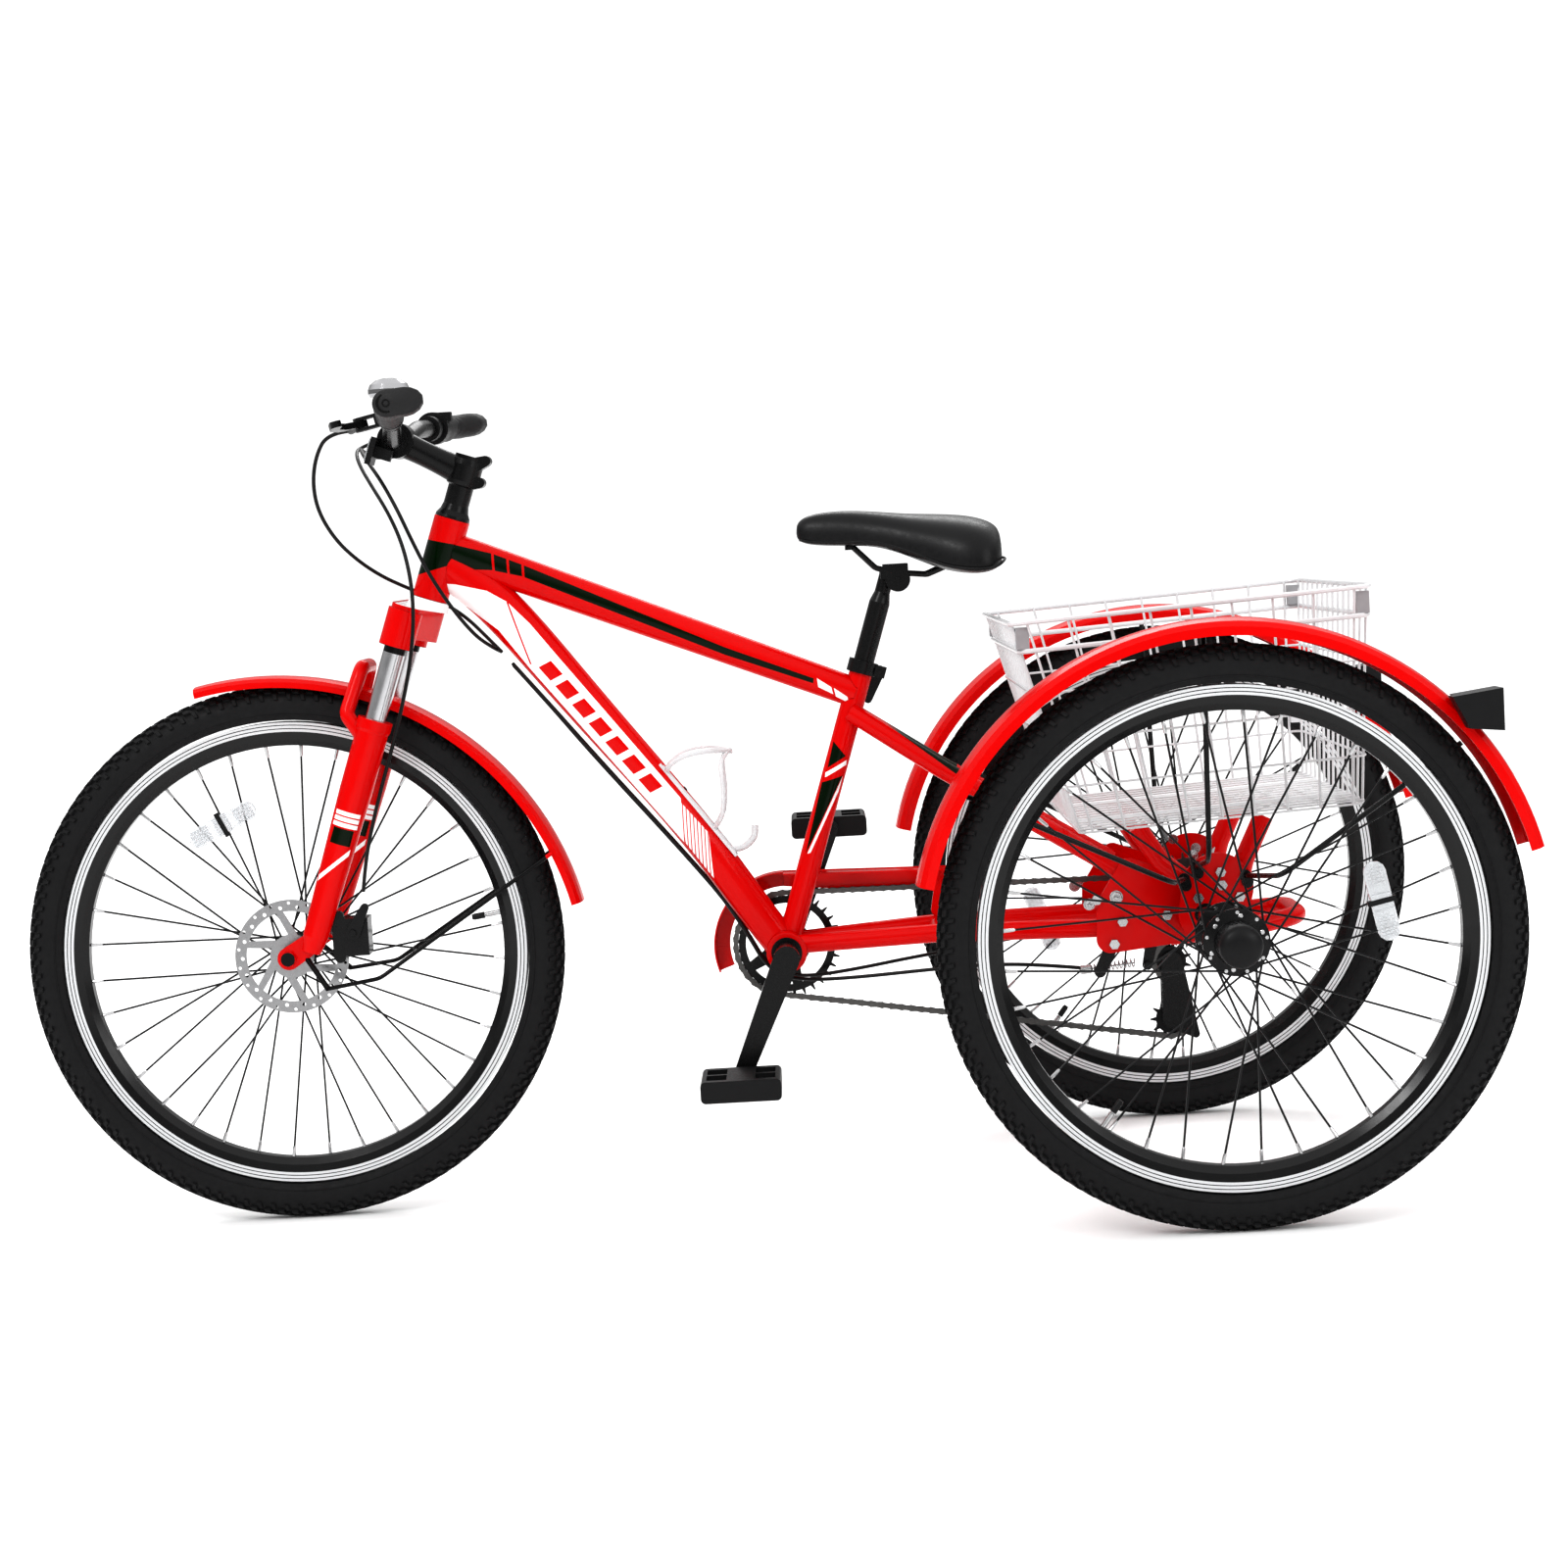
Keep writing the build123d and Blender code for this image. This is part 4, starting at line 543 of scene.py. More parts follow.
def along_mask(tree, coords, axis, start, greater=True):
    """1 beyond a plane across axis."""
    dot = tree.nodes.new("ShaderNodeVectorMath")
    dot.operation = "DOT_PRODUCT"
    tree.links.new(coords, dot.inputs[0])
    dot.inputs[1].default_value = axis
    return math_node(tree, "GREATER_THAN" if greater else "LESS_THAN", dot.outputs["Value"], start)


STANCHION_TOP = 0.1135
STANCHION_BAND_LOW = 0.122
STANCHION_STEEL = (0.50, 0.50, 0.51)


def fork_crown_finish():
    """Red crown, a white band on its race, chrome stanchions with a black band at their tops."""
    name = "fork_crown_paint"
    material = decal_finish(name, [(colours().decal, [fork_box(0, -62.5, 60, 12)])])
    tree, bsdf, coords, tone = colour_nodes(material)
    level = HEAD.dot(STEER_AXIS)
    chrome = along_mask(tree, coords, STEER_AXIS, level - STANCHION_TOP, greater=False)
    collar = along_mask(tree, coords, STEER_AXIS, level - STANCHION_BAND_LOW)
    band = math_node(tree, "MULTIPLY", chrome, collar)
    tone = mixed(tree, chrome, tone, STANCHION_STEEL)
    tone = mixed(tree, band, tone, tuple(colours().coating))
    tree.links.new(tone, bsdf.inputs["Base Color"])
    shiny = math_node(tree, "SUBTRACT", chrome, band)
    tree.links.new(shiny, bsdf.inputs["Metallic"])
    return material


def front_fender_finish():
    """Red guard; the stays inside its curve are black."""
    tree, bsdf, coords, tone = colour_nodes(paint_finish("front_fender_paint", 0.0))
    mask = ring_mask(tree, coords, FENDER_CENTRE, [(0.180, 0.190)])
    tree.links.new(mixed(tree, mask, tone, tuple(colours().coating)), bsdf.inputs["Base Color"])


def fork_point(ahead, along):
    """(x, z) in the side view of a point ahead of the steering axis and along it, in millimetres."""
    point = steer(ahead, 0, along)
    return (point.x - REAR_X) / MM, point.z / MM


def fork_box(ahead, along, width, height):
    """Corners (x, z) of a box in the side view, set square to the steering axis."""
    near, far = ahead - width / 2, ahead + width / 2
    return [fork_point(near, along), fork_point(far, along),
            fork_point(far, along + height), fork_point(near, along + height)]


AXLE_NUT_RADIUS = 0.0086


def make_fork_leg_finish(dark, white):
    """Red lower legs with three short bars, a dark square and a slanted bar; the axle's nuts are black."""
    bars = [fork_box(17, along, 30, 5.2) for along in (-327, -334, -341)]
    slant = [fork_point(ahead, along) for ahead, along in ((32, -414), (3, -374), (3, -366), (32, -406))]
    square = fork_box(17, -363, 25, 20)
    material = decal_finish("fork_lowers_paint", [(white, bars + [slant]), (dark, [square])])
    tree, bsdf, coords, tone = colour_nodes(material)
    nut = ring_mask(tree, coords, FRONT_WHEEL, [(0.0, AXLE_NUT_RADIUS)])
    tree.links.new(mixed(tree, nut, tone, tuple(colours().coating)), bsdf.inputs["Base Color"])


def make_finishes():
    """Every finish of the tricycle, named for the piece or material it belongs to."""
    paint = colours()
    paint_finish("red_paint")
    paint_finish("fender_paint", 0.0)
    basic_finish("black_metal", paint.coating, 0.26, 0.2, 60.0, 0.00002, 1200.0, edge=0.0008, specular=0.2)
    basic_finish("tyre", paint.rubber, 0.6, 0.25, 40.0, 0.00012, 1500.0, specular=0.16)
    basic_finish("bright_steel", (0.46, 0.46, 0.465), 0.22, 0.1, 200.0, 0.00003, 1500.0,
                 metal=1.0, edge=0.0005)
    basic_finish("chrome", (0.40, 0.40, 0.41), 0.08, 0.03, 60.0, metal=1.0, edge=0.0005)
    basic_finish("black_spoke", (0.010, 0.010, 0.0105), 0.32, 0.15, 200.0, metal=0.3, specular=0.2)
    basic_finish("chain_steel", (0.10, 0.098, 0.095), 0.34, 0.3, 300.0, 0.00003, 1500.0, metal=0.85)
    basic_finish("bright_link", (0.6, 0.6, 0.59), 0.2, 0.1, 300.0, metal=1.0)
    basic_finish("white_wire", paint.basket, 0.3, 0.03, 60.0, coat=0.3)
    basic_finish("wire_clip", (0.30, 0.30, 0.31), 0.35, 0.1, 120.0)
    basic_finish("white_plastic", (0.64, 0.64, 0.65), 0.25, 0.02, 40.0, coat=0.2)
    basic_finish("black_plastic", (0.005, 0.005, 0.0055), 0.4, 0.2, 80.0, 0.00006, 900.0, edge=0.0008,
                 specular=0.2)
    basic_finish("saddle_vinyl", (0.006, 0.006, 0.0065), 0.36, 0.15, 50.0, 0.00016, 700.0, specular=0.2)
    basic_finish("grip_rubber", (0.018, 0.018, 0.0185), 0.55, 0.15, 80.0, 0.00018, 1100.0, specular=0.2)
    basic_finish("cable_black", (0.004, 0.004, 0.004), 0.35, 0.15, 100.0, specular=0.2)
    basic_finish("rotor_steel", (0.30, 0.30, 0.305), 0.3, 0.12, 150.0, 0.00003, 1300.0, metal=1.0)
    basic_finish("red_lens", (0.65, 0.01, 0.01), 0.12, 0.1, 120.0, 0.0004, 260.0, coat=0.5)
    lens = basic_finish("clear_lens", (0.86, 0.88, 0.90), 0.12, 0.05, 120.0, 0.0004, 330.0)
    lens.node_tree.nodes["Principled BSDF"].inputs["Transmission Weight"].default_value = 0.55
    for key, wheel in WHEELS.items():
        rim_finish("rim_" + key, wheel[0])
    make_paint_scheme()


def make_paint_scheme():
    """The painted tubes: dark stripes, white panels and slashes, all plain shapes."""
    paint = colours()
    dark, white, red = paint.stripe, paint.decal, paint.paint
    decal_finish("head_tube_paint", [(dark, [HEAD_BAND])])
    top = [(dark, TOP_TUBE_STRIPE), (white, TOP_TUBE_TILES)]
    if paint.show_panel_lines:
        top.insert(1, (red, TOP_TUBE_SLASHES))
    decal_finish("top_tube_paint", top)
    down = [(white, DOWN_TUBE_PANEL), (red, DOWN_TUBE_BARS + DOWN_TUBE_LINES)]
    decal_finish("down_tube_paint", down)
    decal_finish("seat_tube_paint", [(dark, SEAT_TUBE_WEDGES), (white, SEAT_TUBE_SLASHES)])
    decal_finish("rear_stays_paint", [(dark, [STAY_STRIPE])])
    make_fork_leg_finish(dark, white)
    fork_crown_finish()
    front_fender_finish()


# ---------------------------------------------------------------- wheels

TREAD_ROWS = (
    # (first angle, last angle, share of a pitch that the block fills, shift of the row, lift)
    (2, 12, 0.58, 0.0, 1.0),
    (16, 28, 0.50, 0.5, 1.0),
    (33, 46, 0.54, 0.0, 1.0),
    (50, 68, 0.36, 0.5, 0.8),
)
TYRE_MIDDLE = 0.306
BLOCK_ROOT = -0.001


def tyre_point(turn, angle, lift):
    """A point on the tyre: turn round the axle, angle round the section from the crown, both radians."""
    section = sizes().tyre_section + lift
    radius = TYRE_MIDDLE + section * math.cos(angle)
    return Vector((radius * math.cos(turn), section * math.sin(angle), radius * math.sin(turn)))


def tyre_mesh():
    """Casing with plain sidewalls, moulded ribs at the bead and rows of tread blocks."""
    shape = Shape()
    steps = sizes().round_steps
    section = [math.radians(a) for a in range(-134, 135, 12)]
    rings = [[tyre_point(2 * math.pi * i / steps, a, 0.0) for a in section] for i in range(steps)]
    shape.loft(rings, loop=True)
    count = sizes().tread_blocks
    pitch = 2 * math.pi / count
    inset = pitch * 0.06
    for low, high, fill, shift, lift in TREAD_ROWS:
        top = sizes().tread_depth * lift
        for side in (1, -1):
            a0, a1 = math.radians(low) * side, math.radians(high) * side
            slant = pitch * 0.12 * side
            for i in range(count):
                start = pitch * (i + shift + (0.25 if side > 0 else 0))
                end = start + pitch * fill
                low_ring = [tyre_point(start, a0, BLOCK_ROOT), tyre_point(end, a0, BLOCK_ROOT),
                            tyre_point(end + slant, a1, BLOCK_ROOT), tyre_point(start + slant, a1, BLOCK_ROOT)]
                high_ring = [tyre_point(start + inset, a0 * 0.98 + a1 * 0.02, top),
                             tyre_point(end - inset, a0 * 0.98 + a1 * 0.02, top),
                             tyre_point(end - inset + slant, a1, top),
                             tyre_point(start + inset + slant, a1, top)]
                shape.loft([low_ring, high_ring])
    for side in (1, -1):
        angle = math.radians(112) * side
        ribs = [tyre_point(2 * math.pi * i / steps, angle, 0.0002) for i in range(steps)]
        shape.tube(ribs, 0.0008, 6, loop=True)
    return shape.mesh("tyre_tread", [FINISHES["tyre"]], 30)


def valve_shape(turn):
    """The valve stem that comes out of the rim, with its cap."""
    shape = Shape()
    inward = Vector((-math.cos(turn), 0, -math.sin(turn)))
    root = -inward * 0.262
    shape.turned(root, inward, [(0.0034, 0), (0.0034, 0.022), (0.0026, 0.0225), (0.0026, 0.026)], 14, 0)
    shape.turned(root + inward * 0.024, inward, [
        (0.0040, 0), (0.0040, 0.013), (0.0032, 0.016)], 10, 1)
    return shape.mesh("valve", [FINISHES["bright_steel"], FINISHES["black_plastic"]])


VALVE_TURNS = {"front": math.radians(8), "left": math.radians(-127), "right": math.radians(-127)}


def make_tyres():
    mesh = tyre_mesh()
    for key, (centre, body, _) in WHEELS.items():
        tyre = bpy.data.objects.new("tyre_" + key + "_tread", mesh)
        bpy.context.scene.collection.objects.link(tyre)
        tyre.location = centre
        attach(tyre, body)
        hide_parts("tyre_" + key)
        valve = bpy.data.objects.new("valve_" + key, valve_shape(VALVE_TURNS[key]))
        bpy.context.scene.collection.objects.link(valve)
        valve.location = centre
        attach(valve, body)


def wheel_point(centre, radius, turn, y):
    return centre + Vector((radius * math.cos(turn), y, radius * math.sin(turn)))


SPOKES_PER_SIDE = 18
NIPPLE_RADIUS = 0.2577


def add_spokes(shape, centre, flange_radius, flange_y):
    """Crossed spokes with bright nipples; finish 1 is the spoke and 2 the nipple."""
    for side in (1, -1):
        for i in range(SPOKES_PER_SIDE):
            at_rim = math.radians(10 * (2 * i + (side + 1) / 2) + 5)
            lead = 1 if i % 2 else -1
            at_hub = at_rim + lead * math.radians(62)
            start = wheel_point(centre, flange_radius - 0.004, at_hub, side * (flange_y + lead * 0.0025))
            end = wheel_point(centre, NIPPLE_RADIUS, at_rim, side * 0.003)
            inward = (start - end).normalized()
            shape.tube([start, end], sizes().spoke_radius, 6, 1)
            shape.tube([end, end + inward * 0.012, end + inward * 0.014], [0.0023, 0.0020, 0.0012], 8, 2)
            shape.turned(start, Vector((0, side * lead, 0)), [(0.0022, -0.001), (0.0022, 0.0012)], 8, 2)


def hub_finishes():
    names = ("black_metal", "black_spoke", "bright_steel", "clear_lens", "black_plastic")
    return [FINISHES[n] for n in names]


def add_reflector(shape, centre, radius, turn, y):
    """A wheel reflector set between spokes: a clear slab with ribbed ends and a back frame."""
    turn = math.radians(turn)
    out = Vector((math.cos(turn), 0, math.sin(turn)))
    across = Vector((-out.z, 0, out.x))
    middle_point = centre + out * radius + SIDE * y
    outline = []
    for cx, start in ((0.034, -90), (-0.034, 90)):
        for i in range(7):
            a = math.radians(start + 30 * i)
            outline.append((cx + 0.012 * math.cos(a), 0.0125 * math.sin(a)))
    shape.prism(outline, middle_point - SIDE * 0.002, across, out, SIDE * 0.004, 3)
    for end in (1, -1):
        for i in range(6):
            for j in range(4):
                spot = middle_point + across * end * (0.020 + i * 0.004) + out * (j * 0.005 - 0.0075)
                shape.block(spot, (0.0013, 0.0018, 0.0026), (across, out, SIDE), 3)
    shape.block(middle_point, (0.0085, 0.0115, 0.0032), (across, out, SIDE), 3)
    shape.block(middle_point, (0.003, 0.016, 0.0036), (across, out, SIDE), 4)


def make_front_hub():
    centre, body = WHEELS["front"][:2]
    shape = Shape()
    outline = [(0.006, -0.044), (0.012, -0.044), (0.013, -0.035), (0.016, -0.032), (0.024, -0.029),
               (0.024, -0.023), (0.0145, -0.019), (0.013, 0.0), (0.0145, 0.019), (0.022, 0.024),
               (0.022, 0.028), (0.014, 0.031), (0.012, 0.036), (0.009, 0.040), (0.006, 0.040)]
    shape.turned(centre, SIDE, outline, 40, 0)
    for y in (-0.0385, 0.037):
        shape.turned(centre + SIDE * y, SIDE, [(0.0105, 0), (0.0115, 0.001), (0.0105, 0.002)], 32, 2)
    add_spokes(shape, centre, 0.022, 0.026)
    add_reflector(shape, centre, 0.183, 116, -0.010)
    put("front_hub_and_spokes", shape.mesh("front_hub", hub_finishes()), body,
        ["spoked_hub_front"])


def make_rear_hubs():
    for key in ("left", "right"):
        centre, body, side = WHEELS[key]
        out = Vector((0, side, 0))
        shape = Shape()
        outline = [(0.011, -0.040), (0.020, -0.040), (0.022, -0.036), (0.038, -0.034), (0.038, -0.030),
                   (0.024, -0.026), (0.021, 0.0), (0.024, 0.026), (0.038, 0.030), (0.038, 0.034),
                   (0.026, 0.037), (0.0255, 0.040)]
        shape.turned(centre, out, outline, 48, 0)
        cap = [(0.0245, 0.040), (0.0245, 0.060), (0.0235, 0.063), (0.0235, 0.066), (0.0245, 0.068),
               (0.0235, 0.073), (0.019, 0.0775), (0.010, 0.0797), (0.0, 0.080)]
        shape.turned(centre, out, cap, 48, 4)
        teeth = 30
        for i in range(teeth):
            turn = 2 * math.pi * i / teeth
            tangent = Vector((-math.sin(turn), 0, math.cos(turn)))
            radial = Vector((math.cos(turn), 0, math.sin(turn)))
            spot = centre + radial * 0.0243 + out * 0.051
            shape.block(spot, (0.0011, 0.0011, 0.007), (tangent, radial, out), 4)
        for i in range(6):
            turn = math.radians(60 * i + 20)
            spot = wheel_point(centre, 0.0305, turn, side * 0.034)
            shape.turned(spot, out, [(0.0028, 0), (0.0028, 0.0022), (0.0020, 0.0028)], 8, 2)
        add_spokes(shape, centre, 0.038, 0.032)
        turn, radius = (12, 0.170) if key == "left" else (200, 0.170)
        add_reflector(shape, centre, radius, turn, side * 0.016)
        put(key + "_hub_and_spokes", shape.mesh(key + "_hub", hub_finishes()), body,
            ["spoked_hub_" + key])


# ---------------------------------------------------------------- basket

BASKET_ORIGIN = place(13, 0, 457)
BASKET_TILT = math.radians(2.9)
BASKET_FLOOR = (0.169, 0.220)
BASKET_RIM = (0.210, 0.250)
BASKET_SHIFT = -0.018
BASKET_HEIGHT = 0.254


def basket_point(u, v, level, inset=0.0):
    """A point of the basket: u from front to back and v across, -1 to 1, and level from 0 to 1."""
    half_x = BASKET_FLOOR[0] + (BASKET_RIM[0] - BASKET_FLOOR[0]) * level - inset
    half_y = BASKET_FLOOR[1] + (BASKET_RIM[1] - BASKET_FLOOR[1]) * level - inset
    x = BASKET_SHIFT * level + u * half_x
    z = BASKET_HEIGHT * level
    c, s = math.cos(BASKET_TILT), math.sin(BASKET_TILT)
    return BASKET_ORIGIN + Vector((x * c - z * s, v * half_y, x * s + z * c))


def basket_ring(level, inset=0.0, corner=0.07):
    """A rounded rectangle of wire round the basket at one level."""
    points = []
    for u, v in ((1, 1), (-1, 1), (-1, -1), (1, -1)):
        flip = u * v > 0
        for i in range(5):
            a = math.radians(90 * i / 4)
            bend_u, bend_v = (math.cos(a), math.sin(a)) if flip else (math.sin(a), math.cos(a))
            points.append(basket_point(
                u * (1 - corner + corner * bend_u), v * (1 - corner + corner * bend_v), level, inset))
    return points


def make_basket():
    thin = sizes().wire_radius
    shape = Shape()
    for level in (0.0, 0.22, 0.44, 0.66):
        shape.tube(basket_ring(level, 0.002), thin, 6, loop=True)
    for level in (0.86, 0.99):
        shape.tube(basket_ring(level, 0.002), thin * 1.9, 8, loop=True)
    across_count, along_count = 14, 9
    for i in range(across_count):
        v = -0.94 + 1.88 * i / (across_count - 1)
        for u in (-1, 1):
            shape.tube([basket_point(u, v, 0, 0.0038), basket_point(u, v, 0.99, 0.0045)], thin, 6)
    for i in range(along_count):
        u = -0.92 + 1.84 * i / (along_count - 1)
        for v in (-1, 1):
            shape.tube([basket_point(u, v, 0, 0.0038), basket_point(u, v, 0.99, 0.0045)], thin, 6)
    floor_lines = 16
    for i in range(floor_lines):
        v = -0.97 + 1.94 * i / (floor_lines - 1)
        shape.tube([basket_point(-1, v, 0.012, 0.003), basket_point(1, v, 0.012, 0.003)], thin * 0.9, 6)
    cross_lines = 9
    for i in range(cross_lines):
        u = -0.97 + 1.94 * i / (cross_lines - 1)
        shape.tube([basket_point(u, -1, 0.0, 0.003), basket_point(u, 1, 0.0, 0.003)], thin * 1.2, 6)
    for v in (-0.45, 0.45):
        shape.tube([basket_point(-1, v, 0.006, 0.003), basket_point(1, v, 0.006, 0.003)], 0.003, 8)
    for u in (-1, 1):
        for v in (-1, 1):
            for level, finish in ((0.92, 1), (0.30, 0)):
                spot = basket_point(u * 0.965, v * 0.965, level, 0.0035)
                shape.block(spot, (0.0075, 0.0075, 0.0125 if finish else 0.008), finish=finish)
    put("wire_basket", shape.mesh("wire_basket", [FINISHES["white_wire"], FINISHES["wire_clip"]]),
        "frame", ["basket"])


# ---------------------------------------------------------------- chain

CHAIN_Y = 50.0
CHAIN_PITCH = 12.7
CHAIN_CIRCLES = (
    # (x, z, pitch radius, side), side 1 keeps the circle on the left of the chain's run
    (-505.0, 302.0, 64.78, -1),
    (0.0, 333.0, 28.54, -1),
    (-23.0, 253.0, 22.54, 1),
    (-27.0, 180.0, 22.54, -1),
)


def chain_path():
    """Points, every millimetre or so, along the chain's closed run, as (x, z)."""
    count = len(CHAIN_CIRCLES)
    runs = []
    for i in range(count):
        x1, z1, r1, s1 = CHAIN_CIRCLES[i]
        x2, z2, r2, s2 = CHAIN_CIRCLES[(i + 1) % count]
        span = math.hypot(x2 - x1, z2 - z1)
        angle = math.atan2(z2 - z1, x2 - x1) - math.asin((s2 * r2 - s1 * r1) / span)
        nx, nz = -math.sin(angle), math.cos(angle)
        runs.append(((x1 - s1 * r1 * nx, z1 - s1 * r1 * nz), (x2 - s2 * r2 * nx, z2 - s2 * r2 * nz)))
    points = []
    for i in range(count):
        x, z, r, s = CHAIN_CIRCLES[i]
        start, end = runs[i - 1][1], runs[i][0]
        a = math.atan2(start[1] - z, start[0] - x)
        turn = (math.atan2(end[1] - z, end[0] - x) - a) * s % (2 * math.pi) * s
        steps = max(2, int(abs(turn) * r))
        points += [(x + r * math.cos(a + turn * k / steps), z + r * math.sin(a + turn * k / steps))
                   for k in range(steps)]
        length = math.hypot(runs[i][1][0] - end[0], runs[i][1][1] - end[1])
        steps = max(2, int(length / 2))
        points += [(end[0] + (runs[i][1][0] - end[0]) * k / steps,
                    end[1] + (runs[i][1][1] - end[1]) * k / steps) for k in range(steps)]
    return points


def even_points(points, pitch):
    """Pins evenly spaced round the closed line, an even number of them, about a pitch apart."""
    lengths = [math.dist(points[i], points[(i + 1) % len(points)]) for i in range(len(points))]
    total = sum(lengths)
    count = 2 * round(total / pitch / 2)
    step = total / count
    pins, walked, i = [], 0.0, 0
    for k in range(count):
        target = k * step
        while walked + lengths[i] < target:
            walked += lengths[i]
            i += 1
        share = (target - walked) / lengths[i]
        a, b = points[i], points[(i + 1) % len(points)]
        pins.append((a[0] + (b[0] - a[0]) * share, a[1] + (b[1] - a[1]) * share))
    return pins


def link_outline(length, radius, waist):
    """Side view of a chain plate: two round ends and a waist."""
    outline = []
    for cx, start in ((length, -70), (0, 110)):
        for i in range(8):
            a = math.radians(start + 140 * i / 7)
            outline.append((cx + radius * math.cos(a), radius * math.sin(a)))
        outline.append((length / 2, waist if start < 0 else -waist))
    return outline


def make_chain():
    shape = Shape()
    pins = even_points(chain_path(), CHAIN_PITCH)
    for i, pin in enumerate(pins):
        after = pins[(i + 1) % len(pins)]
        outer = i % 2 == 0
        along = Vector((after[0] - pin[0], 0, after[1] - pin[1]))
        length = along.length * MM
        along.normalize()
        across = Vector((-along.z, 0, along.x))
        half = 0.0030 if outer else 0.0018
        bright = 1 if i == BRIGHT_LINK else 0
        outline = link_outline(length, 0.0040 if outer else 0.0037, 0.0027)
        for side in (1, -1):
            origin = place(pin[0], CHAIN_Y, pin[1]) + SIDE * (side * half)
            shape.prism(outline, origin, along, across, SIDE * (side * 0.0010), bright)
        middle_point = place(pin[0], CHAIN_Y, pin[1])
        shape.turned(middle_point - SIDE * 0.0018, SIDE, [(0.0035, 0), (0.0035, 0.0036)], 10, 0)
        shape.turned(middle_point - SIDE * 0.0043, SIDE, [(0.0017, 0), (0.0017, 0.0086)], 8, 0)
    put("chain_links", shape.mesh("chain_links", [FINISHES["chain_steel"], FINISHES["bright_link"]]),
        "frame", ["drive_chain"])


BRIGHT_LINK = 70


# ---------------------------------------------------------------- saddle and grips

SADDLE_PIVOT = place(-343.43, 0, 752.49)
SADDLE_SECTIONS = (
    # (behind the nose, half width, underside, top), millimetres from the saddle's pivot
    (4, 9, 57, 72), (10, 15, 51, 80), (24, 21, 47, 86), (60, 29, 44, 88.5), (100, 39, 43, 85),
    (140, 57, 28, 79.5), (180, 82, 8, 77.5), (215, 97, 1, 74), (240, 92, 3, 66), (254, 66, 14, 55),
)


def saddle_ring(behind, half, low, high, steps=24):
    """One section of the saddle, from its left edge over the top to the right and back below."""
    ring = []
    deep = high - low
    for i in range(steps):
        a = 2 * math.pi * i / steps
        c, s = math.cos(a), math.sin(a)
        if s >= 0:
            y = half * math.copysign(abs(c) ** 0.8, c)
            z = low + deep * (0.14 + 0.86 * s ** 0.8)
        else:
            y = half * math.copysign(abs(c) ** 0.45, c)
            z = low + deep * 0.14 * (1 - abs(s) ** 0.5)
        ring.append(SADDLE_PIVOT + Vector((behind - 125, y, z)) * MM)
    return ring


def make_saddle():
    shape = Shape()
    shape.loft([saddle_ring(*section) for section in SADDLE_SECTIONS])
    mesh = shape.mesh("saddle_cover", [FINISHES["saddle_vinyl"]], 80)
    cover = put("saddle_cover", mesh)
    smooth = cover.modifiers.new("smooth", "SUBSURF")
    smooth.levels = smooth.render_levels = 2
    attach(cover, "saddle")
    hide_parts("saddle_pad")
    hem = Shape()
    edge = []
    for side in (1, -1):
        order = SADDLE_SECTIONS[1:] if side > 0 else SADDLE_SECTIONS[:0:-1]
        for behind, half, low, high in order:
            point = Vector((behind - 125, side * (half - 0.6), low + (high - low) * 0.10))
            edge.append(SADDLE_PIVOT + point * MM)
    hem.tube(smooth_loop(edge), 0.0017, 8, loop=True)
    put("saddle_hem", hem.mesh("saddle_hem", [FINISHES["black_plastic"]]), "saddle")


def smooth_loop(points, parts=4):
    """A closed smooth line through points."""
    line = []
    count = len(points)
    for i in range(count):
        p0, p1, p2, p3 = (points[(i + k - 1) % count] for k in range(4))
        for j in range(parts):
            t = j / parts
            line.append(0.5 * (2 * p1 + (p2 - p0) * t + (2 * p0 - 5 * p1 + 4 * p2 - p3) * t * t
                               + (3 * p1 - p0 - 3 * p2 + p3) * t ** 3))
    return line


def smooth_line(points, parts=6):
    """An open smooth line through points."""
    line = []
    padded = [points[0] * 2 - points[1], *points, points[-1] * 2 - points[-2]]
    for i in range(len(points) - 1):
        p0, p1, p2, p3 = padded[i:i + 4]
        for j in range(parts):
            t = j / parts
            line.append(0.5 * (2 * p1 + (p2 - p0) * t + (2 * p0 - 5 * p1 + 4 * p2 - p3) * t * t
                               + (3 * p1 - p0 - 3 * p2 + p3) * t ** 3))
    return [*line, points[-1]]


def make_grips():
    for side, inner in ((-1, 206), (1, 266)):
        shape = Shape()
        rings = []
        rows = 44
        outer = 340
        for i in range(rows + 1):
            y = inner + (outer - inner) * i / rows
            centre = bar_at(side * y)
            ease = min(1.0, max(0.0, (y - (outer - 62)) / 34))
            ease = ease * ease * (3 - 2 * ease)
            close = min(1.0, (outer - y) / 6 * 0.5 + 0.72)
            groove = 0.5 * (1 if (i % 4 < 2) else 0) * (1 - ease) if 3 < i else 1.2
            ring = []
            for k in range(36):
                a = 2 * math.pi * k / 36
                rear = math.cos(a - 0.10)
                wing = 24 * ease * max(0.0, rear) ** 5 + 3 * ease * max(0.0, rear)
                radius = (15.4 + groove + wing) * close
                ring.append(centre + Vector((math.cos(a), 0, math.sin(a))) * radius * MM)
            rings.append(ring)
        shape.loft(rings)
        end = bar_at(side * outer)
        plug = [(0.0045, -0.002), (0.0045, 0.0006), (0.0030, 0.0006), (0.0028, -0.001)]
        shape.turned(end, (0, side, 0), plug, 20, 1)
        mesh = shape.mesh("grip", [FINISHES["grip_rubber"], FINISHES["cable_black"]], 50)
        put("grip_left" if side < 0 else "grip_right", mesh, "steering", ["grips"])
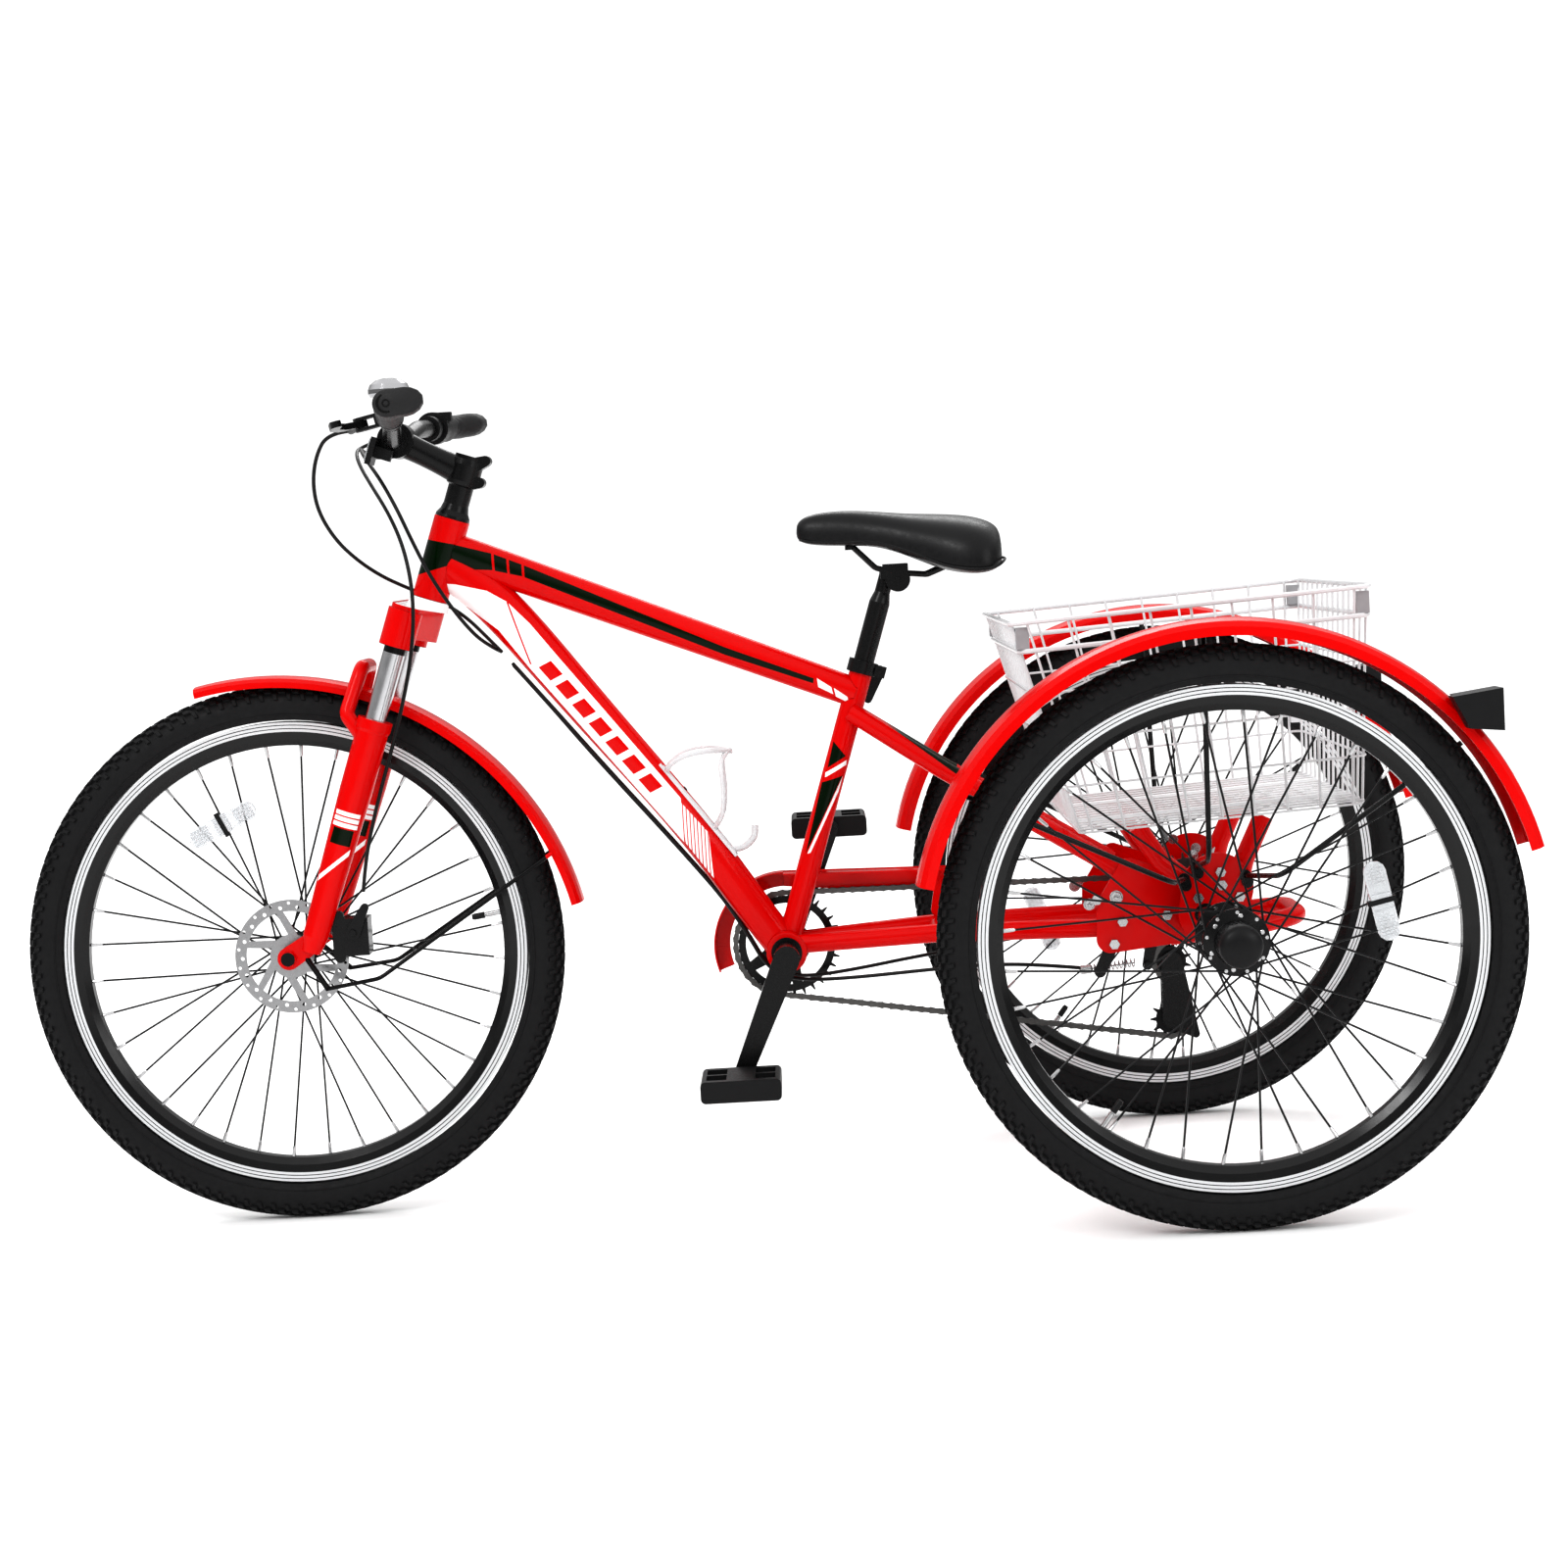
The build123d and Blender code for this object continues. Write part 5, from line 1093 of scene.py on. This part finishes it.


# ---------------------------------------------------------------- cables

# Routes are listed points, in metres from the rear axle's place on the ground.
REAR_BRAKE_ROUTE = (
    (-.9844, -.136, .9651), (-1.011, -.132, .964), (-1.030, -.112, .938), (-1.038, -.098, .905),
    (-1.035, -.086, .872), (-1.019, -.070, .838), (-.997, -.048, .812), (-.974, -.020, .792),
    (-.952, .012, .778), (-.930, .036, .766), (-.904, .044, .752), (-.879, .036, .734),
    (-.856, .016, .712), (-.835, -.004, .691))
SHIFT_ROUTE = (
    (-.9609, .1821, .9456), (-.992, .150, .940), (-1.003, .110, .948), (-1.002, .062, .952),
    (-.990, .016, .938), (-.966, -.026, .908), (-.946, -.048, .872), (-.930, -.056, .834),
    (-.914, -.052, .796), (-.896, -.046, .762), (-.876, -.036, .730), (-.856, -.016, .704),
    (-.838, .004, .692))
FRONT_BRAKE_ROUTE = (
    (-.9844, .136, .9651), (-1.010, .124, .956), (-1.012, .092, .948), (-1.002, .050, .930),
    (-.982, .006, .902), (-.958, -.038, .868), (-.940, -.066, .830), (-.930, -.084, .786),
    (-.928, -.096, .742), (-.934, -.100, .694), (-.946, -.101, .644), (-.962, -.101, .592),
    (-.980, -.100, .540), (-.996, -.097, .490), (-1.008, -.088, .446), (-1.015, -.072, .412))
REAR_BRAKE_TAIL = (
    (-.821, -.009, .674), (-.779, -.009, .622), (-.740, -.009, .571), (-.699, -.009, .520),
    (-.658, -.009, .470), (-.617, -.009, .419), (-.577, -.009, .367), (-.550, -.009, .320),
    (-.534, -.010, .288), (-.512, -.012, .270), (-.478, -.016, .264), (-.420, -.028, .266),
    (-.350, -.044, .272), (-.270, -.060, .278), (-.200, -.070, .276), (-.140, -.074, .268))
SHIFT_TAIL = (
    (-.824, .009, .676), (-.781, .009, .623), (-.740, .009, .571), (-.699, .009, .520),
    (-.658, .009, .470), (-.617, .009, .419), (-.577, .009, .367), (-.550, .009, .320),
    (-.534, .010, .288), (-.512, .012, .270), (-.478, .016, .264), (-.420, .030, .268),
    (-.350, .048, .276), (-.270, .062, .284), (-.190, .074, .294), (-.120, .076, .299),
    (-.070, .070, .298))


def route_line(name, points):
    """Points along the smooth line that a cable's route controls, and that line's length."""
    curve = bpy.data.curves.new(name, "CURVE")
    curve.dimensions = "3D"
    curve.resolution_u = 10
    spline = curve.splines.new("NURBS")
    spline.points.add(len(points) - 1)
    for spot, (x, y, z) in zip(spline.points, points):
        spot.co = (REAR_X + x, y, z, 1)
    spline.order_u = 3
    spline.use_endpoint_u = True
    carrier = bpy.data.objects.new(name, curve)
    bpy.context.scene.collection.objects.link(carrier)
    bpy.context.view_layer.update()
    line = bpy.data.meshes.new_from_object(carrier)
    spots = [v.co.copy() for v in line.vertices]
    bpy.data.meshes.remove(line)
    bpy.data.objects.remove(carrier)
    bpy.data.curves.remove(curve)
    return spots, sum((b - a).length for a, b in zip(spots, spots[1:]))


def cable_tube(name, points):
    """A round sleeve along the route; returns the object, its line and length."""
    spots, length = route_line(name + "_line", points)
    shape = Shape()
    radius = sizes().cable_radius
    shape.tube(spots, radius, 12, 0)
    obj = put(name, shape.mesh(name, [FINISHES["cable_black"]]))
    return obj, spots, length


def make_control_cables():
    joined = (
        ("rear_brake_cable", REAR_BRAKE_ROUTE, "frame", 3, -2),
        ("shift_cable", SHIFT_ROUTE, "frame", 3, -2),
        ("front_brake_cable", FRONT_BRAKE_ROUTE, "fork_lowers", 8, -3),
    )
    for name, route, far_body, first, last in joined:
        obj, spots, length = cable_tube(name, route)
        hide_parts("control_cables")
        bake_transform(obj)


def make_frame_cables():
    for name, route in (("rear_brake_cable_tail", REAR_BRAKE_TAIL), ("shift_cable_tail", SHIFT_TAIL)):
        obj, spots, length = cable_tube(name, route)
        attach(obj, "frame")
        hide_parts("frame_cables")


# ---------------------------------------------------------------- bottle cage

CAGE_BASE = place(-606.8, 0, 480.9)
CAGE_OUT = Vector((0.8045, 0, 0.594))
CAGE_UP = Vector((-0.594, 0, 0.8045))


def cage_point(out, y, up):
    """A point of the bottle cage in millimetres out from the tube, across it and up along it."""
    return CAGE_BASE + (CAGE_OUT * out + SIDE * y + CAGE_UP * up) * MM


def make_bottle_cage():
    shape = Shape()
    strip = [(-12, -74), (12, -74), (13, -66), (13, 66), (12, 74), (-12, 74), (-13, 66), (-13, -66)]
    shape.prism([(a * MM, b * MM) for a, b in strip], cage_point(1, 0, 0), SIDE, CAGE_UP, CAGE_OUT * 0.0035)
    for side in (1, -1):
        rail = [cage_point(out, side * 10, up) for out, up in ((3.5, -70), (4.5, 0), (3.5, 70))]
        shape.tube(rail, 0.0022, 8)
        loop = [cage_point(4, side * 10, 62), cage_point(16, side * 28, 66), cage_point(38, side * 38, 62),
                cage_point(62, side * 32, 48), cage_point(77, side * 12, 34), cage_point(79, 0, 30)]
        shape.tube(smooth_line(loop), 0.0036, 10)
        brace = [cage_point(5, side * 10, -30), cage_point(24, side * 31, -22), cage_point(44, side * 38, 0),
                 cage_point(62, side * 32, 26), cage_point(76, side * 13, 33)]
        shape.tube(smooth_line(brace), 0.0032, 10)
    hook = [cage_point(4, 0, -66), cage_point(18, 0, -72), cage_point(34, 0, -70), cage_point(44, 0, -60)]
    shape.tube(smooth_line(hook), 0.0042, 10)
    for up in (-30, 30):
        shape.turned(cage_point(3, 0, up), CAGE_OUT, [(0.0045, 0), (0.0045, 0.003), (0.0030, 0.0048)], 16, 1)
    mesh = shape.mesh("bottle_cage_loops", [FINISHES["white_plastic"], FINISHES["black_metal"]])
    put("bottle_cage_loops", mesh, "frame", ["bottle_cage"])


# ---------------------------------------------------------------- small fittings

def make_front_reflector():
    """The clear front reflector on its bracket under the handlebar."""
    shape = Shape()
    face = Vector((-0.94, 0, 0.33))
    upright = Vector((0.33, 0, 0.94))
    spot = place(-972, -38, 944)
    shape.block(spot, (0.020, 0.017, 0.0035), (SIDE, upright, face), 0)
    shape.block(spot + face * 0.0042, (0.017, 0.014, 0.0012), (SIDE, upright, face), 1)
    shape.block(spot - face * 0.012, (0.005, 0.007, 0.012), (SIDE, upright, face), 0)
    put("front_reflector", shape.mesh("front_reflector", [FINISHES["black_plastic"], FINISHES["clear_lens"]]),
        "steering")


def make_tail_lenses():
    """Red lenses on the faces of the tail reflectors."""
    for side in (-1, 1):
        shape = Shape()
        outline = [(0, 0), (0, 0.034), (0.034, 0.034), (0.034, 0)]
        origin = place(300.4, side * 340 - 17, 333 + 227)
        shape.prism(outline, origin, SIDE, UP, Vector((0.0016, 0, 0)), 0)
        put("tail_lens_left" if side < 0 else "tail_lens_right",
            shape.mesh("tail_lens", [FINISHES["red_lens"]]), "frame")


def make_carrier_nuts():
    """Bright nuts and washers on the outer faces of the axle carrier's plates."""
    shape = Shape()
    spots = ((-103, 356, 9), (-136, 349, 8), (-40, 380, 7), (20, 389, 7), (46, 383, 7), (-8, 402, 7))
    for x, z, across in spots:
        for side in (-1, 1):
            face = place(x, side * 94.2, z)
            shape.turned(face, (0, side, 0), [(across * 0.9 * MM, 0), (across * 0.9 * MM, 0.001)], 20)
            shape.hexagon(face + Vector((0, side * 0.001, 0)), (0, side, 0), across * 1.4 * MM, 0.004)
    put("carrier_nuts", shape.mesh("carrier_nuts", [FINISHES["bright_steel"]]), "frame")


def make_brake_spring():
    """The coil spring on the rear brake cable's end, with its barrel adjuster."""
    shape = Shape()
    start, end = place(-136, -74, 267.5), place(-82, -74, 272)
    along = (end - start).normalized()
    u = along.cross(SIDE)
    turns, steps = 11, 12
    points = [start.lerp(end, i / (turns * steps))
              + (u * math.cos(2 * math.pi * i / steps) + SIDE * math.sin(2 * math.pi * i / steps)) * 0.0048
              for i in range(turns * steps + 1)]
    shape.tube(points, 0.0008, 6)
    barrel = start - along * 0.014
    shape.turned(barrel, along, [(0.003, 0), (0.0055, 0.002), (0.0055, 0.014), (0.003, 0.016)], 12)
    shape.tube([start, end], 0.0009, 6)
    mesh = shape.mesh("brake_spring", [FINISHES["bright_steel"]])
    spring = put("brake_spring", mesh, "frame")
    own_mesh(spring)


# ---------------------------------------------------------------- carried-over CAD pieces

NODE_FINISHES = {
    "front_fender": "front_fender_paint",
    "rear_fender_left": "fender_paint", "rear_fender_right": "fender_paint",
    "head_tube": "head_tube_paint", "top_tube": "top_tube_paint", "down_tube": "down_tube_paint",
    "seat_tube": "seat_tube_paint", "rear_stays": "rear_stays_paint", "fork_crown": "fork_crown_paint",
    "fork_lowers": "fork_lowers_paint", "rim_front": "rim_front", "rim_left": "rim_left",
    "rim_right": "rim_right", "brake_rotor": "rotor_steel",
}


def finish_cad_nodes():
    """Gives every CAD piece that still shows the finish of its slot, or its own."""
    slots = {part["node"]: part["material_slot"] for part in frame["record"]["subparts"]}
    for node, obj in frame["nodes"].items():
        finish = FINISHES[NODE_FINISHES.get(node, slots[node])]
        obj.data.materials.clear()
        obj.data.materials.append(finish)


# ---------------------------------------------------------------- stage

CAMERA_PLACE = Vector((0.08594, -3.61264, 0.80323))
CAMERA_YAW = math.radians(-0.55995)
CAMERA_PITCH = math.radians(4.67435)
CAMERA_ROLL = math.radians(-3.27564)


def make_camera():
    forward = Vector((math.sin(CAMERA_YAW) * math.cos(CAMERA_PITCH),
                      math.cos(CAMERA_YAW) * math.cos(CAMERA_PITCH), -math.sin(CAMERA_PITCH)))
    right = Vector((math.cos(CAMERA_YAW), -math.sin(CAMERA_YAW), 0))
    up = right.cross(forward)
    c, s = math.cos(CAMERA_ROLL), math.sin(CAMERA_ROLL)
    across = right * c + up * s
    above = up * c - right * s
    data = bpy.data.cameras.new("camera")
    data.sensor_width = 36
    data.lens = 67.25
    camera = bpy.data.objects.new("camera", data)
    bpy.context.scene.collection.objects.link(camera)
    rows = Matrix((across, above, -forward)).transposed().to_4x4()
    camera.matrix_world = Matrix.Translation(CAMERA_PLACE) @ rows
    bpy.context.scene.camera = camera


def area_light(name, place_at, target, size, power, shine=1.0):
    data = bpy.data.lights.new(name, "AREA")
    data.shape = "RECTANGLE"
    data.size, data.size_y = size
    data.energy = power
    data.specular_factor = shine
    light = bpy.data.objects.new(name, data)
    bpy.context.scene.collection.objects.link(light)
    light.location = place_at
    light.rotation_euler = (Vector(target) - Vector(place_at)).to_track_quat("-Z", "Y").to_euler()
    return light


def make_sky(tree):
    """A white studio: bright overhead, dimmer round the walls, and plain white where it is seen."""
    background = tree.nodes["Background"]
    background.inputs["Color"].default_value = (1, 1, 1, 1)
    coords = tree.nodes.new("ShaderNodeTexCoord")
    split = tree.nodes.new("ShaderNodeSeparateXYZ")
    tree.links.new(coords.outputs["Generated"], split.inputs[0])
    height = tree.nodes.new("ShaderNodeMapRange")
    height.interpolation_type = "SMOOTHSTEP"
    tree.links.new(split.outputs["Z"], height.inputs["Value"])
    height.inputs["From Min"].default_value = 0.12
    height.inputs["From Max"].default_value = 0.62
    height.inputs["To Min"].default_value = 0.34
    height.inputs["To Max"].default_value = 1.32
    path = tree.nodes.new("ShaderNodeLightPath")
    tree.links.new(math_node(tree, "MAXIMUM", path.outputs["Is Camera Ray"], height.outputs["Result"]),
                   background.inputs["Strength"])


def make_stage():
    scene = bpy.context.scene
    scene.view_settings.view_transform = "Standard"
    scene.view_settings.look = "None"
    scene.view_settings.exposure = 0.2
    scene.view_settings.gamma = 0.86
    world = scene.world or bpy.data.worlds.new("world")
    scene.world = world
    world.use_nodes = True
    make_sky(world.node_tree)
    half = sizes().floor_size / 2
    shape = Shape()
    shape.add([(-half, -half, 0), (half, -half, 0), (half, half, 0), (-half, half, 0)], [[0, 1, 2, 3]])
    material = basic_finish("pale_floor", (0.985, 0.985, 0.985), 0.8, 0.01, 2.0, specular=0.0)
    floor = put("floor", shape.mesh("floor", [material]))
    floor.location.z = min(CAD_BOX[0][2], 0.0) - 0.0005
    make_camera()
    area_light("key", (-2.2, -3.0, 3.4), (0, 0, 0.5), (1.2, 1.2), 60)
    area_light("fill", (2.6, -2.4, 1.6), (0.2, 0, 0.5), (1.8, 1.2), 22, 0.2)
    area_light("back", (0.3, 2.8, 3.0), (0, 0, 0.4), (2.4, 1.0), 30, 0.5)


# ---------------------------------------------------------------- operators

class StageOperator(bpy.types.Operator):
    """Makes the camera, the floor and the studio light."""

    bl_idname = "tricycle.stage"
    bl_label = "Stage"

    def execute(self, context):
        make_stage()
        return {"FINISHED"}


class FinishesOperator(bpy.types.Operator):
    """Makes every finish and gives the carried-over CAD pieces theirs."""

    bl_idname = "tricycle.finishes"
    bl_label = "Finishes"

    def execute(self, context):
        make_finishes()
        finish_cad_nodes()
        return {"FINISHED"}


class CablesOperator(bpy.types.Operator):
    """Makes the brake and shift cables."""

    bl_idname = "tricycle.cables"
    bl_label = "Cables"

    def execute(self, context):
        make_control_cables()
        make_frame_cables()
        make_brake_spring()
        return {"FINISHED"}


class TyresOperator(bpy.types.Operator):
    """Makes the three tyres with their tread and valves."""

    bl_idname = "tricycle.tyres"
    bl_label = "Tyres"

    def execute(self, context):
        make_tyres()
        return {"FINISHED"}


class HubsOperator(bpy.types.Operator):
    """Makes the hubs with their spokes, nipples and reflectors."""

    bl_idname = "tricycle.hubs"
    bl_label = "Hubs and spokes"

    def execute(self, context):
        make_front_hub()
        make_rear_hubs()
        return {"FINISHED"}


class BasketOperator(bpy.types.Operator):
    """Makes the wire basket with its clips."""

    bl_idname = "tricycle.basket"
    bl_label = "Wire basket"

    def execute(self, context):
        make_basket()
        return {"FINISHED"}


class ChainOperator(bpy.types.Operator):
    """Makes the chain, link by link."""

    bl_idname = "tricycle.chain"
    bl_label = "Chain"

    def execute(self, context):
        make_chain()
        return {"FINISHED"}


class SaddleOperator(bpy.types.Operator):
    """Makes the padded saddle cover and its hem."""

    bl_idname = "tricycle.saddle"
    bl_label = "Saddle"

    def execute(self, context):
        make_saddle()
        return {"FINISHED"}


class GripsOperator(bpy.types.Operator):
    """Makes the two grips with their palm wings."""

    bl_idname = "tricycle.grips"
    bl_label = "Grips"

    def execute(self, context):
        make_grips()
        return {"FINISHED"}


class FittingsOperator(bpy.types.Operator):
    """Makes the bottle cage, reflectors, lenses and nuts."""

    bl_idname = "tricycle.fittings"
    bl_label = "Small fittings"

    def execute(self, context):
        make_bottle_cage()
        make_front_reflector()
        make_tail_lenses()
        make_carrier_nuts()
        return {"FINISHED"}


OPERATORS = (StageOperator, FinishesOperator, CablesOperator, TyresOperator, HubsOperator, BasketOperator,
             ChainOperator, SaddleOperator, GripsOperator, FittingsOperator)


class TricyclePanel(bpy.types.Panel):
    """Lists the tricycle's sizes, colours and steps."""

    bl_idname = "VIEW3D_PT_tricycle"
    bl_label = "Adult Tricycle"
    bl_space_type = "VIEW_3D"
    bl_region_type = "UI"
    bl_category = "Tricycle"

    def draw(self, context):
        for group in (context.scene.tricycle_sizes, context.scene.tricycle_colours):
            for name in group.bl_rna.properties.keys():
                if name not in ("rna_type", "name"):
                    self.layout.prop(group, name)
        for operator in OPERATORS:
            self.layout.operator(operator.bl_idname)


CLASSES = (TricycleSizes, TricycleColours, *OPERATORS, TricyclePanel)


def register():
    for item in CLASSES:
        bpy.utils.register_class(item)
    bpy.types.Scene.tricycle_sizes = PointerProperty(type=TricycleSizes)
    bpy.types.Scene.tricycle_colours = PointerProperty(type=TricycleColours)


def unregister():
    del bpy.types.Scene.tricycle_sizes
    del bpy.types.Scene.tricycle_colours
    for item in reversed(CLASSES):
        bpy.utils.unregister_class(item)


def main():
    register()
    for operator in OPERATORS:
        group, name = operator.bl_idname.split(".")
        getattr(getattr(bpy.ops, group), name)()


if __name__ == "__main__":
    main()
